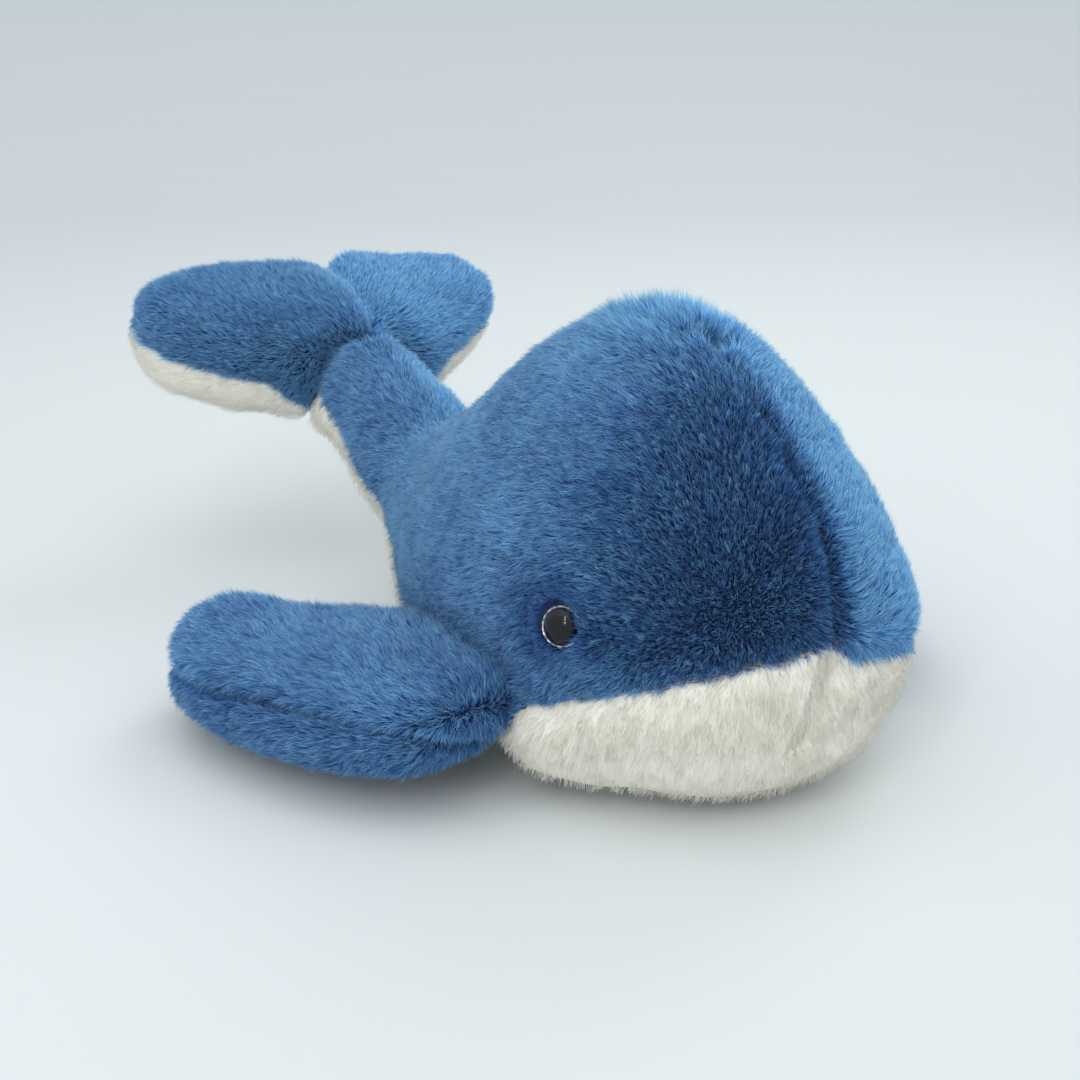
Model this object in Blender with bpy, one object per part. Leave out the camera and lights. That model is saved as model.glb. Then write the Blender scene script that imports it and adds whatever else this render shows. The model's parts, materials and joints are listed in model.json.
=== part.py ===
# A plush whale lying on its belly with its nose towards -Y: sewn skin panels, stuffing and safety eyes.
# Lengths are in metres. "along" runs backwards from the nose, and heights are over the floor.

import math

import bmesh
import bpy
from mathutils import Matrix, Vector

# Cloth, gaps and seams
SKIN = 0.006  # plush cloth, backing and pile together
GAP = 0.0003  # between pieces that touch
FILL_GAP = 0.0006  # between the stuffing and its skin
SEAM_DIP = 0.0014  # how far a seam draws the cloth in
SEAM_DIP_SHARE = 0.12  # how much of a panel's width that reaches
HINGE_CLEARANCE = 0.0006  # running gap round a flexing root
OVERRUN = 0.010  # how far a cutter passes what it cuts
SLOPE_STEP = 0.0003  # spacing of the points that give the skin's slope

# Body and head
BODY_LENGTH = 0.232  # nose to the tail hinge
HEAD_HALF_WIDTH = 0.069
CROWN_HEIGHT = 0.107  # crown over the side seam
SEAM_HEIGHT = 0.034  # side seam where it runs lowest
MOUTH_HEIGHT = 0.058  # point of the nose, where three seams meet
CHIN_RISE = 0.005
CHEEK_ROUND = 0.085  # length of the rounding from the nose back, seen from above
BROW_ROUND = 0.103  # the same along the top
CHIN_ROUND = 0.040  # the same along the underside
REST_CUT = 0.0005  # depth of the flat that the belly rests on

# Tail stock
TAIL_ROOT_HEIGHT = 0.046  # tail hinge over the floor
TAIL_ROOT_RADIUS = 0.027
TAIL_COLLAR_WALL = 0.0005  # body round the tail's root
TAIL_LENGTH = 0.074  # tail hinge to fluke hinge, along the stock
TAIL_END_HALF_WIDTH = 0.0212
TAIL_END_HALF_HEIGHT = 0.0208
BODY_END_PITCH = math.radians(16)
TAIL_PITCH = math.radians(19)
TAIL_BEND = math.radians(12)
TAIL_RIM_ANGLE = math.radians(62)
FLUKE_RIM_ANGLE = math.radians(56)

# Flukes
FLUKE_RADIUS = 0.018  # half their thickness
FLUKE_HALF_SPAN = 0.060  # middle to the core of a lobe's tip
FLUKE_CHORD = 0.035  # hinge to the core of the trailing edge
FLUKE_CROWN = 0.002
FLUKE_PITCH = math.radians(22)
FLUKE_NOTCH_RADIUS = 0.0145  # half thickness at the notch
FLUKE_MIDDLE_SHARE = 0.35  # where the crown lies, as a share of the chord

# Flippers
FLIPPER_RADIUS = 0.015  # half their thickness
FLIPPER_SPAN_RIGHT = 0.042  # hinge to the core of the tip
FLIPPER_SPAN_LEFT = 0.032  # the left one lies further back
FLIPPER_ROOT_HALF = 0.018  # half the core of the sewn root
FLIPPER_SWEEP_RIGHT = 0.062  # how far the tip lies behind the root
FLIPPER_SWEEP_LEFT = 0.068
FLIPPER_CROWN = 0.002
FLIPPER_ALONG = 0.096  # middle of the root
FLIPPER_HEIGHT = 0.0275  # hinge over the floor
FLIPPER_SEAT = 0.0036  # depth of the root in the body's side
FLIPPER_DROOP = math.radians(10.5)

# Safety eyes
EYE_ALONG = 0.053
EYE_ANGLE = math.radians(18.5)  # round the section, up from the side seam
EYE_RADIUS = 0.0062
EYE_DOME = 0.0040
EYE_RIM = 0.0010
EYE_POCKET = 0.0030
EYE_POCKET_RIM = 0.0008
EYE_WEB = 0.0024  # cloth held between eye and washer
SHANK_RADIUS = 0.0020
SHANK_LENGTH = 0.0110
SHANK_RIB = 0.0004
SHANK_RIB_PITCH = 0.0014
WASHER_RADIUS = 0.0080
WASHER_THICKNESS = 0.0018
WASHER_LIP = 0.0006
EYE_FIT = 0.0003

# Facets
BODY_ROWS = 17
TAIL_BALL_ROWS = 4
TAIL_ROWS = 5
EDGE_ROWS = 3
FACE_ROWS = 2
OUTLINE_STEPS = 2
TURN_STEPS = 24
SHANK_RIBS = 4
DOME_STEPS = 5
FILL_TAIL_ROWS = 3
FILL_EDGE_ROWS = 2
FILL_FACE_ROWS = 1
SHARP_ANGLE = math.radians(50)
NOSE_CROWDING = 1.7

# Where the body's sections lie and how full they are, as shares of the sizes above:
# along, width, crown, mouth rise, tail rise, chin rise, keel rise, pitch
body_station_shares = [
    (0.00, 0.98, 0.69, 1.00, 0.00, 1.00, 0.00, 0.00),
    (0.11, 0.98, 0.83, 0.54, 0.00, 0.20, 0.00, 0.00),
    (0.26, 1.00, 1.00, 0.10, 0.00, 0.00, 0.00, 0.00),
    (0.43, 0.98, 0.95, 0.00, 0.00, 0.00, 0.00, 0.00),
    (0.60, 0.82, 0.74, 0.00, 0.06, 0.00, 0.00, 0.10),
    (0.75, 0.48, 0.43, 0.00, 0.30, 0.00, 0.12, 0.45),
    (0.88, 0.17, 0.17, 0.00, 0.66, 0.00, 0.48, 0.85),
    (1.00, 0.00, 0.00, 0.00, 1.00, 0.00, 1.00, 1.00),
]
upper_quarter_shares = [0.00, 0.14, 0.30, 0.46, 0.63, 0.80, 0.94, 1.00]
lower_quarter_shares = [0.00, 0.14, 0.32, 0.50, 0.68, 0.85, 1.00]
tail_quarter_shares = [0.00, 0.25, 0.50, 0.75, 1.00]
upper_power = 1.68
lower_power = 2.35
cheek_power = 2.1
brow_power = 2.0
chin_power = 2.2

# Core outlines as shares of half span and chord
fluke_outline_shares = [
    (0.00, 0.00),
    (0.40, 0.00),
    (0.70, 0.18),
    (0.92, 0.56),
    (1.00, 0.88),
    (0.93, 1.08),
    (0.68, 1.16),
    (0.38, 1.16),
    (0.14, 1.08),
    (0.00, 1.03),
]
# span share, root share, sweep share
flipper_outline_shares = {
    "right": [
        (0.00, 0.00, 0.00),
        (0.00, -1.00, 0.00),
        (0.27, -0.98, 0.02),
        (0.60, -0.50, 0.15),
        (0.85, -0.10, 0.42),
        (0.98, 0.00, 0.76),
        (0.94, 0.10, 1.02),
        (0.77, 0.25, 1.17),
        (0.54, 0.60, 0.98),
        (0.34, 0.95, 0.62),
        (0.14, 1.12, 0.27),
        (0.00, 1.00, 0.00),
    ],
    "left": [
        (0.00, 0.00, 0.00),
        (0.00, -1.00, 0.00),
        (0.22, -0.90, 0.03),
        (0.50, -0.40, 0.18),
        (0.76, -0.05, 0.42),
        (0.95, 0.00, 0.72),
        (1.00, 0.00, 0.92),
        (0.90, 0.05, 1.06),
        (0.68, 0.25, 1.08),
        (0.44, 0.60, 0.88),
        (0.22, 0.95, 0.50),
        (0.00, 1.00, 0.00),
    ],
}


def clear_scene():
    for obj in list(bpy.data.objects):
        bpy.data.objects.remove(obj, do_unlink=True)


def make_material(name, colour, roughness):
    material = bpy.data.materials.new(name)
    material.use_nodes = True
    shader = material.node_tree.nodes["Principled BSDF"]
    shader.inputs["Base Color"].default_value = (*colour, 1.0)
    shader.inputs["Roughness"].default_value = roughness
    shader.inputs["Metallic"].default_value = 0.0
    material.diffuse_color = (*colour, 1.0)
    return material


def smooth(stations, column, at):
    """A cubic through the stations that never swings past them."""
    places = [row[0] for row in stations]
    values = [row[column] for row in stations]
    steps = [b - a for a, b in zip(places, places[1:])]
    slopes = [(b - a) / step for a, b, step in zip(values, values[1:], steps)]
    tangents = [slopes[0]]
    for before, after in zip(slopes, slopes[1:]):
        tangents.append(2 * before * after / (before + after) if before * after > 0 else 0.0)
    tangents.append(slopes[-1])
    index = 0
    while index < len(steps) - 1 and at > places[index + 1]:
        index += 1
    step = steps[index]
    t = (at - places[index]) / step
    return (
        (1 + 2 * t) * (1 - t) ** 2 * values[index]
        + t * (1 - t) ** 2 * step * tangents[index]
        + t * t * (3 - 2 * t) * values[index + 1]
        + t * t * (t - 1) * step * tangents[index + 1]
    )


def rounded(distance, length, power):
    """How much of its full size a section has at this distance behind a round end."""
    left = max(0.0, 1 - distance / length)
    return max(0.0, 1 - left**power) ** (1 / power)


def seam_pull(share):
    """1 on a seam, fading to 0 within a small share of the way to the next one."""
    return math.exp(-((share / SEAM_DIP_SHARE) ** 2))


class BodyForm:
    """The body's skin line, or a line a given depth inside it."""

    def __init__(self, inset):
        self.inset = inset
        self.socket = TAIL_ROOT_RADIUS + HINGE_CLEARANCE
        self.collar = self.socket + TAIL_COLLAR_WALL
        self.end = BODY_LENGTH - self.socket * math.cos(TAIL_RIM_ANGLE) * math.cos(BODY_END_PITCH)

    def section(self, along):
        share = along / BODY_LENGTH
        columns = range(len(body_station_shares[0]))
        value = [smooth(body_station_shares, column, share) for column in columns]
        seam = (
            SEAM_HEIGHT
            + (MOUTH_HEIGHT - SEAM_HEIGHT) * value[3]
            + (TAIL_ROOT_HEIGHT - SEAM_HEIGHT) * value[4]
        )
        keel = CHIN_RISE * value[5] + (TAIL_ROOT_HEIGHT - self.collar) * value[6]
        behind = along - self.inset
        width = self.collar + (HEAD_HALF_WIDTH - self.collar) * value[1] - self.inset
        crown = self.collar + (CROWN_HEIGHT - self.collar) * value[2] - self.inset
        belly = seam - keel - self.inset
        width *= rounded(behind, CHEEK_ROUND - self.inset, cheek_power)
        crown *= rounded(behind, BROW_ROUND - self.inset, brow_power)
        belly *= rounded(behind, CHIN_ROUND - self.inset, chin_power)
        return seam, width, crown, belly, BODY_END_PITCH * value[7]

    def point(self, along, side, quarter, below=False, gap=0.0):
        """A point on the line: quarter runs from 0 on the side seam to 1 on the middle line."""
        seam, width, height, belly, pitch = self.section(along)
        power = upper_power
        if below:
            height = belly
            power = lower_power
        angle = quarter * math.pi / 2
        pull = SEAM_DIP * seam_pull(quarter) * min(1.0, width / HEAD_HALF_WIDTH)
        out = max(0.0, width - pull) * math.cos(angle) ** (2 / power) if quarter < 1 else 0.0
        up = height * math.sin(angle) ** (2 / power)
        if not below:
            up -= SEAM_DIP * seam_pull(1 - quarter) * min(1.0, height / CROWN_HEIGHT)
        up = max(0.0, up) + gap
        up = -up if below else up
        return Vector(
            (side * out, along - up * math.sin(pitch), seam + up * math.cos(pitch))
        )

    def rows(self, count):
        start = self.inset
        return [start + (self.end - start) * (row / count) ** NOSE_CROWDING for row in range(count + 1)]


def add_object(name, mesh_maker, material, parent):
    bm = bmesh.new()
    mesh_maker(bm)
    bmesh.ops.recalc_face_normals(bm, faces=bm.faces)
    mesh = bpy.data.meshes.new(name)
    bm.to_mesh(mesh)
    bm.free()
    mesh.shade_smooth()
    mesh.set_sharp_from_angle(angle=SHARP_ANGLE)
    if material:
        mesh.materials.append(material)
    obj = bpy.data.objects.new(name, mesh)
    bpy.context.scene.collection.objects.link(obj)
    obj.parent = parent
    return obj


def add_pivot(name, parent, location, pitch=0.0, roll=0.0):
    pivot = bpy.data.objects.new(name, None)
    bpy.context.scene.collection.objects.link(pivot)
    pivot.empty_display_size = OVERRUN
    pivot.parent = parent
    pivot.location = location
    pivot.rotation_euler = (pitch, roll, 0.0)
    return pivot


def cut(obj, cutter):
    cutter.hide_render = True
    cutter.display_type = "WIRE"
    modifier = obj.modifiers.new(cutter.name, "BOOLEAN")
    modifier.operation = "DIFFERENCE"
    modifier.solver = "EXACT"
    modifier.object = cutter


def strip(bm, first, second, ring=False):
    """Faces between two rows of points, where a row of one point is a pole."""
    count = max(len(first), len(second))
    for index in range(count if ring else count - 1):
        after = (index + 1) % count
        corners = [first[index if len(first) > 1 else 0], first[after if len(first) > 1 else 0]]
        corners += [second[after if len(second) > 1 else 0], second[index if len(second) > 1 else 0]]
        kept = [corner for place, corner in enumerate(corners) if corner not in corners[:place]]
        if len(kept) > 2:
            bm.faces.new(kept)


def surface(bm, rows, ring=False):
    made = [[bm.verts.new(point) for point in row] for row in rows]
    for first, second in zip(made, made[1:]):
        strip(bm, first, second, ring)
    return made


def shell(outer_rows, inner_rows):
    """A sheet with thickness that runs from a pole to an open end."""

    def build(bm):
        outer = surface(bm, outer_rows)
        inner = surface(bm, inner_rows)
        for edge in (0, -1):
            strip(bm, [row[edge] for row in outer], [row[edge] for row in inner])
        strip(bm, outer[-1], inner[-1])

    return build


def solid(rings):
    """A closed body through rings, whose ends are poles or flat caps."""

    def build(bm):
        made = surface(bm, rings, ring=True)
        for end in (made[0], made[-1]):
            if len(end) > 1:
                bm.faces.new(end)

    return build


def turned(profile, steps=TURN_STEPS):
    """A closed body turned round its own Z from points of radius and height."""

    def build(bm):
        rings = []
        for radius, height in profile:
            turns = [math.tau * step / steps for step in range(steps)] if radius > 0 else [0.0]
            rings.append(
                [Vector((radius * math.cos(turn), radius * math.sin(turn), height)) for turn in turns]
            )
        solid(rings)(bm)

    return build


def ball_profile(radius, half_length=0.0, steps=TURN_STEPS // 2):
    """Half a circle, or a capsule's outline when half_length parts its two ends."""
    points = []
    for step in range(steps + 1):
        angle = -math.pi / 2 + math.pi * step / steps
        shift = half_length if angle > 0 else -half_length
        reach = 0.0 if step in (0, steps) else radius * math.cos(angle)
        if half_length and step * 2 == steps:
            points.append((reach, -half_length))
            shift = half_length
        points.append((reach, shift + radius * math.sin(angle)))
    return points


def clear_of_facets(radius):
    """A cutter's radius, so that its flat facets stay outside the round piece that turns in it."""
    return (radius + HINGE_CLEARANCE) / math.cos(math.pi / TURN_STEPS) ** 2


def body_panel_rows(form, side):
    rows = []
    for along in form.rows(BODY_ROWS):
        row = []
        for quarter in upper_quarter_shares:
            point = form.point(along, side, quarter, gap=GAP / 2)
            point.x = side * max(abs(point.x), GAP / 2)
            row.append(point)
        rows.append(row)
    rows[0] = rows[0][:1]
    rows[0][0].x = side * GAP / 2
    return rows


def belly_panel_rows(form):
    rows = []
    for along in form.rows(BODY_ROWS):
        right = [form.point(along, -1, quarter, True, GAP / 2) for quarter in lower_quarter_shares]
        left = [form.point(along, 1, quarter, True, GAP / 2) for quarter in lower_quarter_shares]
        rows.append(right + left[-2::-1])
    rows[0] = rows[0][:1]
    return rows


def body_fill_rings(form):
    rings = []
    for along in form.rows(BODY_ROWS):
        ring = [form.point(along, -1, quarter) for quarter in upper_quarter_shares]
        ring += [form.point(along, 1, quarter) for quarter in upper_quarter_shares[-2::-1]]
        ring += [form.point(along, 1, quarter, True) for quarter in lower_quarter_shares[1:]]
        ring += [form.point(along, -1, quarter, True) for quarter in lower_quarter_shares[-2:0:-1]]
        rings.append(ring)
    rings[0] = rings[0][:1]
    return rings


def surface_frame(form, along, side, quarter):
    """A place on the skin with +Z pointing out of the body."""
    place = form.point(along, side, quarter)
    back = form.point(along + SLOPE_STEP, side, quarter) - place
    up = form.point(along, side, quarter + SLOPE_STEP / HEAD_HALF_WIDTH) - place
    out = back.cross(up).normalized()
    if out.x * side < 0:
        out.negate()
    across = up.cross(out).normalized()
    turn = Matrix((across, out.cross(across), out)).transposed()
    return Matrix.Translation(place) @ turn.to_4x4()


def eye_profile():
    """Dome, rim and a ribbed shank, from the shank's tip outwards."""
    points = [(0.0, -SHANK_LENGTH), (SHANK_RADIUS - SHANK_RIB, -SHANK_LENGTH)]
    start = -SHANK_LENGTH + SHANK_RIB_PITCH / 2
    for rib in range(SHANK_RIBS):
        low = start + rib * SHANK_RIB_PITCH
        points += [(SHANK_RADIUS, low), (SHANK_RADIUS - SHANK_RIB, low + SHANK_RIB_PITCH / 2)]
    points += [(SHANK_RADIUS - SHANK_RIB, 0.0), (EYE_RADIUS, 0.0), (EYE_RADIUS, EYE_RIM)]
    for step in range(1, DOME_STEPS + 1):
        angle = math.pi / 2 * step / DOME_STEPS
        reach = 0.0 if step == DOME_STEPS else EYE_RADIUS * math.cos(angle)
        points.append((reach, EYE_RIM + EYE_DOME * math.sin(angle)))
    return points


def washer_profile():
    inner = SHANK_RADIUS + EYE_FIT
    return [
        (inner, 0.0),
        (WASHER_RADIUS - WASHER_LIP, 0.0),
        (WASHER_RADIUS, -WASHER_LIP),
        (WASHER_RADIUS, -WASHER_THICKNESS),
        (inner, -WASHER_THICKNESS),
    ]


def washer_ring(profile):
    def build(bm):
        rings = []
        for step in range(TURN_STEPS):
            turn = math.tau * step / TURN_STEPS
            rings.append([Vector((r * math.cos(turn), r * math.sin(turn), h)) for r, h in profile])
        made = [[bm.verts.new(point) for point in ring] for ring in rings]
        for first, second in zip(made, made[1:] + made[:1]):
            strip(bm, first, second, ring=True)

    return build


def eye_cutter_profile():
    """Pocket for the eye, hole for the shank and room for washer and shank end, from the inside out."""
    floor = -EYE_POCKET
    seat = floor - EYE_WEB
    depth = floor - SHANK_LENGTH - OVERRUN / 2
    hole = SHANK_RADIUS + EYE_FIT
    room = WASHER_RADIUS + EYE_FIT
    pocket = EYE_RADIUS + EYE_POCKET_RIM
    return [(0.0, depth), (room, depth), (room, seat), (hole, seat), (hole, floor), (pocket, floor),
            (pocket, OVERRUN), (0.0, OVERRUN)]


def closed_curve(points, steps):
    """A smooth closed curve through the points, with steps pieces between each two."""
    curve = []
    count = len(points)
    for index in range(count):
        p0, p1, p2, p3 = (points[(index + shift) % count] for shift in (-1, 0, 1, 2))
        for step in range(steps):
            t = step / steps
            curve.append(
                (
                    2 * p1
                    + (p2 - p0) * t
                    + (2 * p0 - 5 * p1 + 4 * p2 - p3) * t * t
                    + (3 * p1 - p0 - 3 * p2 + p3) * t**3
                )
                / 2
            )
    return curve


def outward_normals(curve):
    count = len(curve)
    area = sum(curve[i - 1].cross(curve[i]) for i in range(count))
    turn = 1 if area > 0 else -1
    normals = []
    for index in range(count):
        before = (curve[index] - curve[index - 1]).normalized()
        after = (curve[(index + 1) % count] - curve[index]).normalized()
        run = (before + after).normalized()
        normals.append(Vector((run.y, -run.x)) * turn)
    return normals


class PadForm:
    """A stuffed pad round a flat core: a ball's radius out from the core's outline, crowned inside it."""

    def __init__(self, core, radii, middle, crown):
        self.core = core
        self.radii = radii
        self.middle = middle
        self.crown = crown
        self.normals = outward_normals(core)

    def half(self, inset, side, gap=0.0, edge_rows=EDGE_ROWS, face_rows=FACE_ROWS):
        """Rings from the edge seam to the middle of one face, which ends in a single point."""
        rings = []
        for row in range(edge_rows + 1):
            angle = math.pi / 2 * row / edge_rows
            ring = []
            for place, normal, radius in zip(self.core, self.normals, self.radii):
                reach = (radius - inset) * math.cos(angle) - SEAM_DIP * seam_pull(row / edge_rows)
                reach = max(reach, 0.0)
                ring.append(self.lift(place + normal * reach, side, (radius - inset) * math.sin(angle), gap))
            rings.append(ring)
        mean = sum(self.radii) / len(self.radii)
        for row in range(1, face_rows + 1):
            share = 1 - row / face_rows
            if row == face_rows:
                rings.append([self.lift(self.middle, side, mean - inset + self.crown, gap)])
                continue
            ring = []
            for place, radius in zip(self.core, self.radii):
                height = radius * share + mean * (1 - share) - inset + self.crown * (1 - share * share)
                ring.append(self.lift(self.middle.lerp(place, share), side, height, gap))
            rings.append(ring)
        return rings

    def lift(self, place, side, height, gap):
        return Vector((place.x, place.y, side * (max(height, 0.0) + gap)))


def pad_panel(form, side):
    def build(bm):
        outer = surface(bm, form.half(0.0, side, GAP / 2), ring=True)
        inner = surface(bm, form.half(SKIN, side, GAP / 2), ring=True)
        strip(bm, outer[0], inner[0], ring=True)

    return build


def pad_fill(form):
    inset = SKIN + FILL_GAP
    upper = form.half(inset, 1, edge_rows=FILL_EDGE_ROWS, face_rows=FILL_FACE_ROWS)
    lower = form.half(inset, -1, edge_rows=FILL_EDGE_ROWS, face_rows=FILL_FACE_ROWS)
    return solid(upper[::-1] + lower[1:])


def tail_place(run):
    """Middle of the stock and its direction at a distance behind the tail hinge, in the tail's own frame."""
    curl = TAIL_BEND / TAIL_LENGTH
    turn = curl * run
    return Vector((0.0, math.sin(turn) / curl, (1 - math.cos(turn)) / curl)), turn


def tail_rows(inset, side, gap, quarters, rows=TAIL_ROWS, ball_rows=TAIL_BALL_ROWS):
    """Half sections of the stock above or below its seams, from the pole of its round root backwards."""
    end = TAIL_LENGTH - (FLUKE_RADIUS + HINGE_CLEARANCE) * math.cos(FLUKE_RIM_ANGLE)
    sections = []
    for row in range(ball_rows):
        angle = math.pi / 2 * row / ball_rows
        reach = TAIL_ROOT_RADIUS - inset
        centre = Vector((0.0, -reach * math.cos(angle), 0.0))
        sections.append((centre, 0.0, reach * math.sin(angle), reach * math.sin(angle)))
    for row in range(rows + 1):
        share = row / rows
        centre, turn = tail_place(end * share)
        ease = share * share * (3 - 2 * share)
        width = TAIL_ROOT_RADIUS + (TAIL_END_HALF_WIDTH - TAIL_ROOT_RADIUS) * ease - inset
        height = TAIL_ROOT_RADIUS + (TAIL_END_HALF_HEIGHT - TAIL_ROOT_RADIUS) * ease - inset
        sections.append((centre, turn, width, height))
    result = []
    for centre, turn, width, height in sections:
        row = []
        for quarter in quarters:
            angle = quarter * math.pi / 2
            dip = SEAM_DIP * seam_pull(min(quarter, 2 - quarter)) * width / TAIL_ROOT_RADIUS
            out = -(width - dip) * math.cos(angle)
            up = side * (height * math.sin(angle) + gap)
            row.append(centre + Vector((out, -up * math.sin(turn), up * math.cos(turn))))
        result.append(row)
    result[0] = result[0][:1]
    return result


def tail_fill_rings(inset):
    quarters = tail_quarter_shares + [2 - quarter for quarter in tail_quarter_shares[-2::-1]]
    upper = tail_rows(inset, 1, 0.0, quarters, rows=FILL_TAIL_ROWS, ball_rows=FILL_TAIL_ROWS)
    lower = tail_rows(inset, -1, 0.0, quarters, rows=FILL_TAIL_ROWS, ball_rows=FILL_TAIL_ROWS)
    return [top if len(top) == 1 else top + low[-2:0:-1] for top, low in zip(upper, lower)]


def flipper_form(name, side, span, sweep):
    points = [
        Vector((side * span * out, FLIPPER_ROOT_HALF * root + sweep * back))
        for out, root, back in flipper_outline_shares[name]
    ]
    core = closed_curve(points, OUTLINE_STEPS)
    for place in core:
        place.x = side * max(side * place.x, 0.0)
    middle = sum(core, Vector((0.0, 0.0))) / len(core)
    radii = [FLIPPER_RADIUS] * len(core)
    return PadForm(core, radii, middle, FLIPPER_CROWN)


def fluke_form():
    half = [Vector((FLUKE_HALF_SPAN * out, FLUKE_CHORD * back)) for out, back in fluke_outline_shares]
    points = half + [Vector((-place.x, place.y)) for place in half[-2:0:-1]]
    core = closed_curve(points, OUTLINE_STEPS)
    for place in core:
        place.y = max(place.y, 0.0)
    notch = Vector((0.0, FLUKE_CHORD))
    radii = []
    for place in core:
        near = math.exp(-(((place - notch).length / (FLUKE_CHORD / 2)) ** 2))
        radii.append(FLUKE_RADIUS + (FLUKE_NOTCH_RADIUS - FLUKE_RADIUS) * near)
    middle = Vector((0.0, FLUKE_CHORD * FLUKE_MIDDLE_SHARE))
    return PadForm(core, radii, middle, FLUKE_CROWN)


def box(half_width, length, depth):
    """A plain block under its own origin, for the flat that the belly rests on."""

    def build(bm):
        rings = [
            [
                Vector((-half_width, y, -depth)),
                Vector((half_width, y, -depth)),
                Vector((half_width, y, 0.0)),
                Vector((-half_width, y, 0.0)),
            ]
            for y in (0.0, length)
        ]
        solid(rings)(bm)

    return build


def build_body(root, blue, cream, stuffing):
    skin = BodyForm(0.0)
    lining = BodyForm(SKIN)
    filling = BodyForm(SKIN + FILL_GAP)
    pieces = {
        "right": add_object(
            "body_panel_right", shell(body_panel_rows(skin, -1), body_panel_rows(lining, -1)), blue, root
        ),
        "left": add_object(
            "body_panel_left", shell(body_panel_rows(skin, 1), body_panel_rows(lining, 1)), blue, root
        ),
        "belly": add_object("belly_panel", shell(belly_panel_rows(skin), belly_panel_rows(lining)), cream, root),
        "fill": add_object("body_fill", solid(body_fill_rings(filling)), stuffing, root),
    }
    tail_hinge = Vector((0.0, BODY_LENGTH, TAIL_ROOT_HEIGHT))
    socket = add_object("tail_socket_cutter", turned(ball_profile(clear_of_facets(TAIL_ROOT_RADIUS))), None, root)
    socket.location = tail_hinge
    socket.rotation_euler = (0.0, math.pi / 2, 0.0)
    for piece in pieces.values():
        cut(piece, socket)
    rest = add_object("rest_cutter", box(HEAD_HALF_WIDTH, BODY_LENGTH, OVERRUN), None, root)
    rest.location = (0.0, 0.0, REST_CUT)
    cut(pieces["belly"], rest)
    return skin, pieces, tail_hinge


def build_eye(name, side, skin, pieces, root, eye_material, washer_material):
    place = surface_frame(skin, EYE_ALONG, side, EYE_ANGLE / (math.pi / 2))
    cutter = add_object("eye_cutter_" + name, turned(eye_cutter_profile()), None, root)
    cutter.matrix_local = place
    cut(pieces[name], cutter)
    cut(pieces["fill"], cutter)
    eye = add_object("eye_" + name, turned(eye_profile()), eye_material, root)
    eye.matrix_local = place @ Matrix.Translation((0.0, 0.0, GAP - EYE_POCKET))
    washer = add_object("eye_washer_" + name, washer_ring(washer_profile()), washer_material, root)
    washer.matrix_local = place @ Matrix.Translation((0.0, 0.0, -EYE_POCKET - EYE_WEB - GAP))


def build_flipper(name, side, span, sweep, skin, pieces, root, blue, stuffing):
    half_width = skin.section(FLIPPER_ALONG)[1]
    hinge_x = side * (half_width + FLIPPER_RADIUS - FLIPPER_SEAT)
    hinge = Vector((hinge_x, FLIPPER_ALONG, FLIPPER_HEIGHT))
    groove = add_object(
        "flipper_groove_cutter_" + name,
        turned(ball_profile(clear_of_facets(FLIPPER_RADIUS), FLIPPER_ROOT_HALF)),
        None,
        root,
    )
    groove.location = hinge
    groove.rotation_euler = (math.pi / 2, 0.0, 0.0)
    for piece in (pieces[name], pieces["belly"]):
        cut(piece, groove)
    pivot = add_pivot("flipper_pivot_" + name, root, hinge, roll=side * FLIPPER_DROOP)
    form = flipper_form(name, side, span, sweep)
    add_object("flipper_upper_panel_" + name, pad_panel(form, 1), blue, pivot)
    add_object("flipper_lower_panel_" + name, pad_panel(form, -1), blue, pivot)
    add_object("flipper_fill_" + name, pad_fill(form), stuffing, pivot)


def build_tail(root, tail_hinge, blue, cream, stuffing):
    pivot = add_pivot("tail_pivot", root, tail_hinge, pitch=TAIL_PITCH)
    quarters = tail_quarter_shares + [2 - quarter for quarter in tail_quarter_shares[-2::-1]]
    pieces = []
    for name, side, material in (("upper", 1, blue), ("lower", -1, cream)):
        outer = tail_rows(0.0, side, GAP / 2, quarters)
        inner = tail_rows(SKIN, side, GAP / 2, quarters)
        pieces.append(add_object("tail_panel_" + name, shell(outer, inner), material, pivot))
    pieces.append(add_object("tail_fill", solid(tail_fill_rings(SKIN + FILL_GAP)), stuffing, pivot))
    fluke_hinge, turn = tail_place(TAIL_LENGTH)
    reach = TAIL_ROOT_RADIUS + OVERRUN
    radius = clear_of_facets(FLUKE_RADIUS)
    profile = [(0.0, -reach), (radius, -reach), (radius, reach), (0.0, reach)]
    socket = add_object("fluke_socket_cutter", turned(profile), None, pivot)
    socket.location = fluke_hinge
    socket.rotation_euler = (0.0, math.pi / 2, 0.0)
    for piece in pieces:
        cut(piece, socket)
    return pivot, fluke_hinge


def build_flukes(tail_pivot, fluke_hinge, blue, cream, stuffing):
    pivot = add_pivot("fluke_pivot", tail_pivot, fluke_hinge, pitch=FLUKE_PITCH - TAIL_PITCH)
    form = fluke_form()
    add_object("fluke_panel_upper", pad_panel(form, 1), blue, pivot)
    add_object("fluke_panel_lower", pad_panel(form, -1), cream, pivot)
    add_object("fluke_fill", pad_fill(form), stuffing, pivot)


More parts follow.
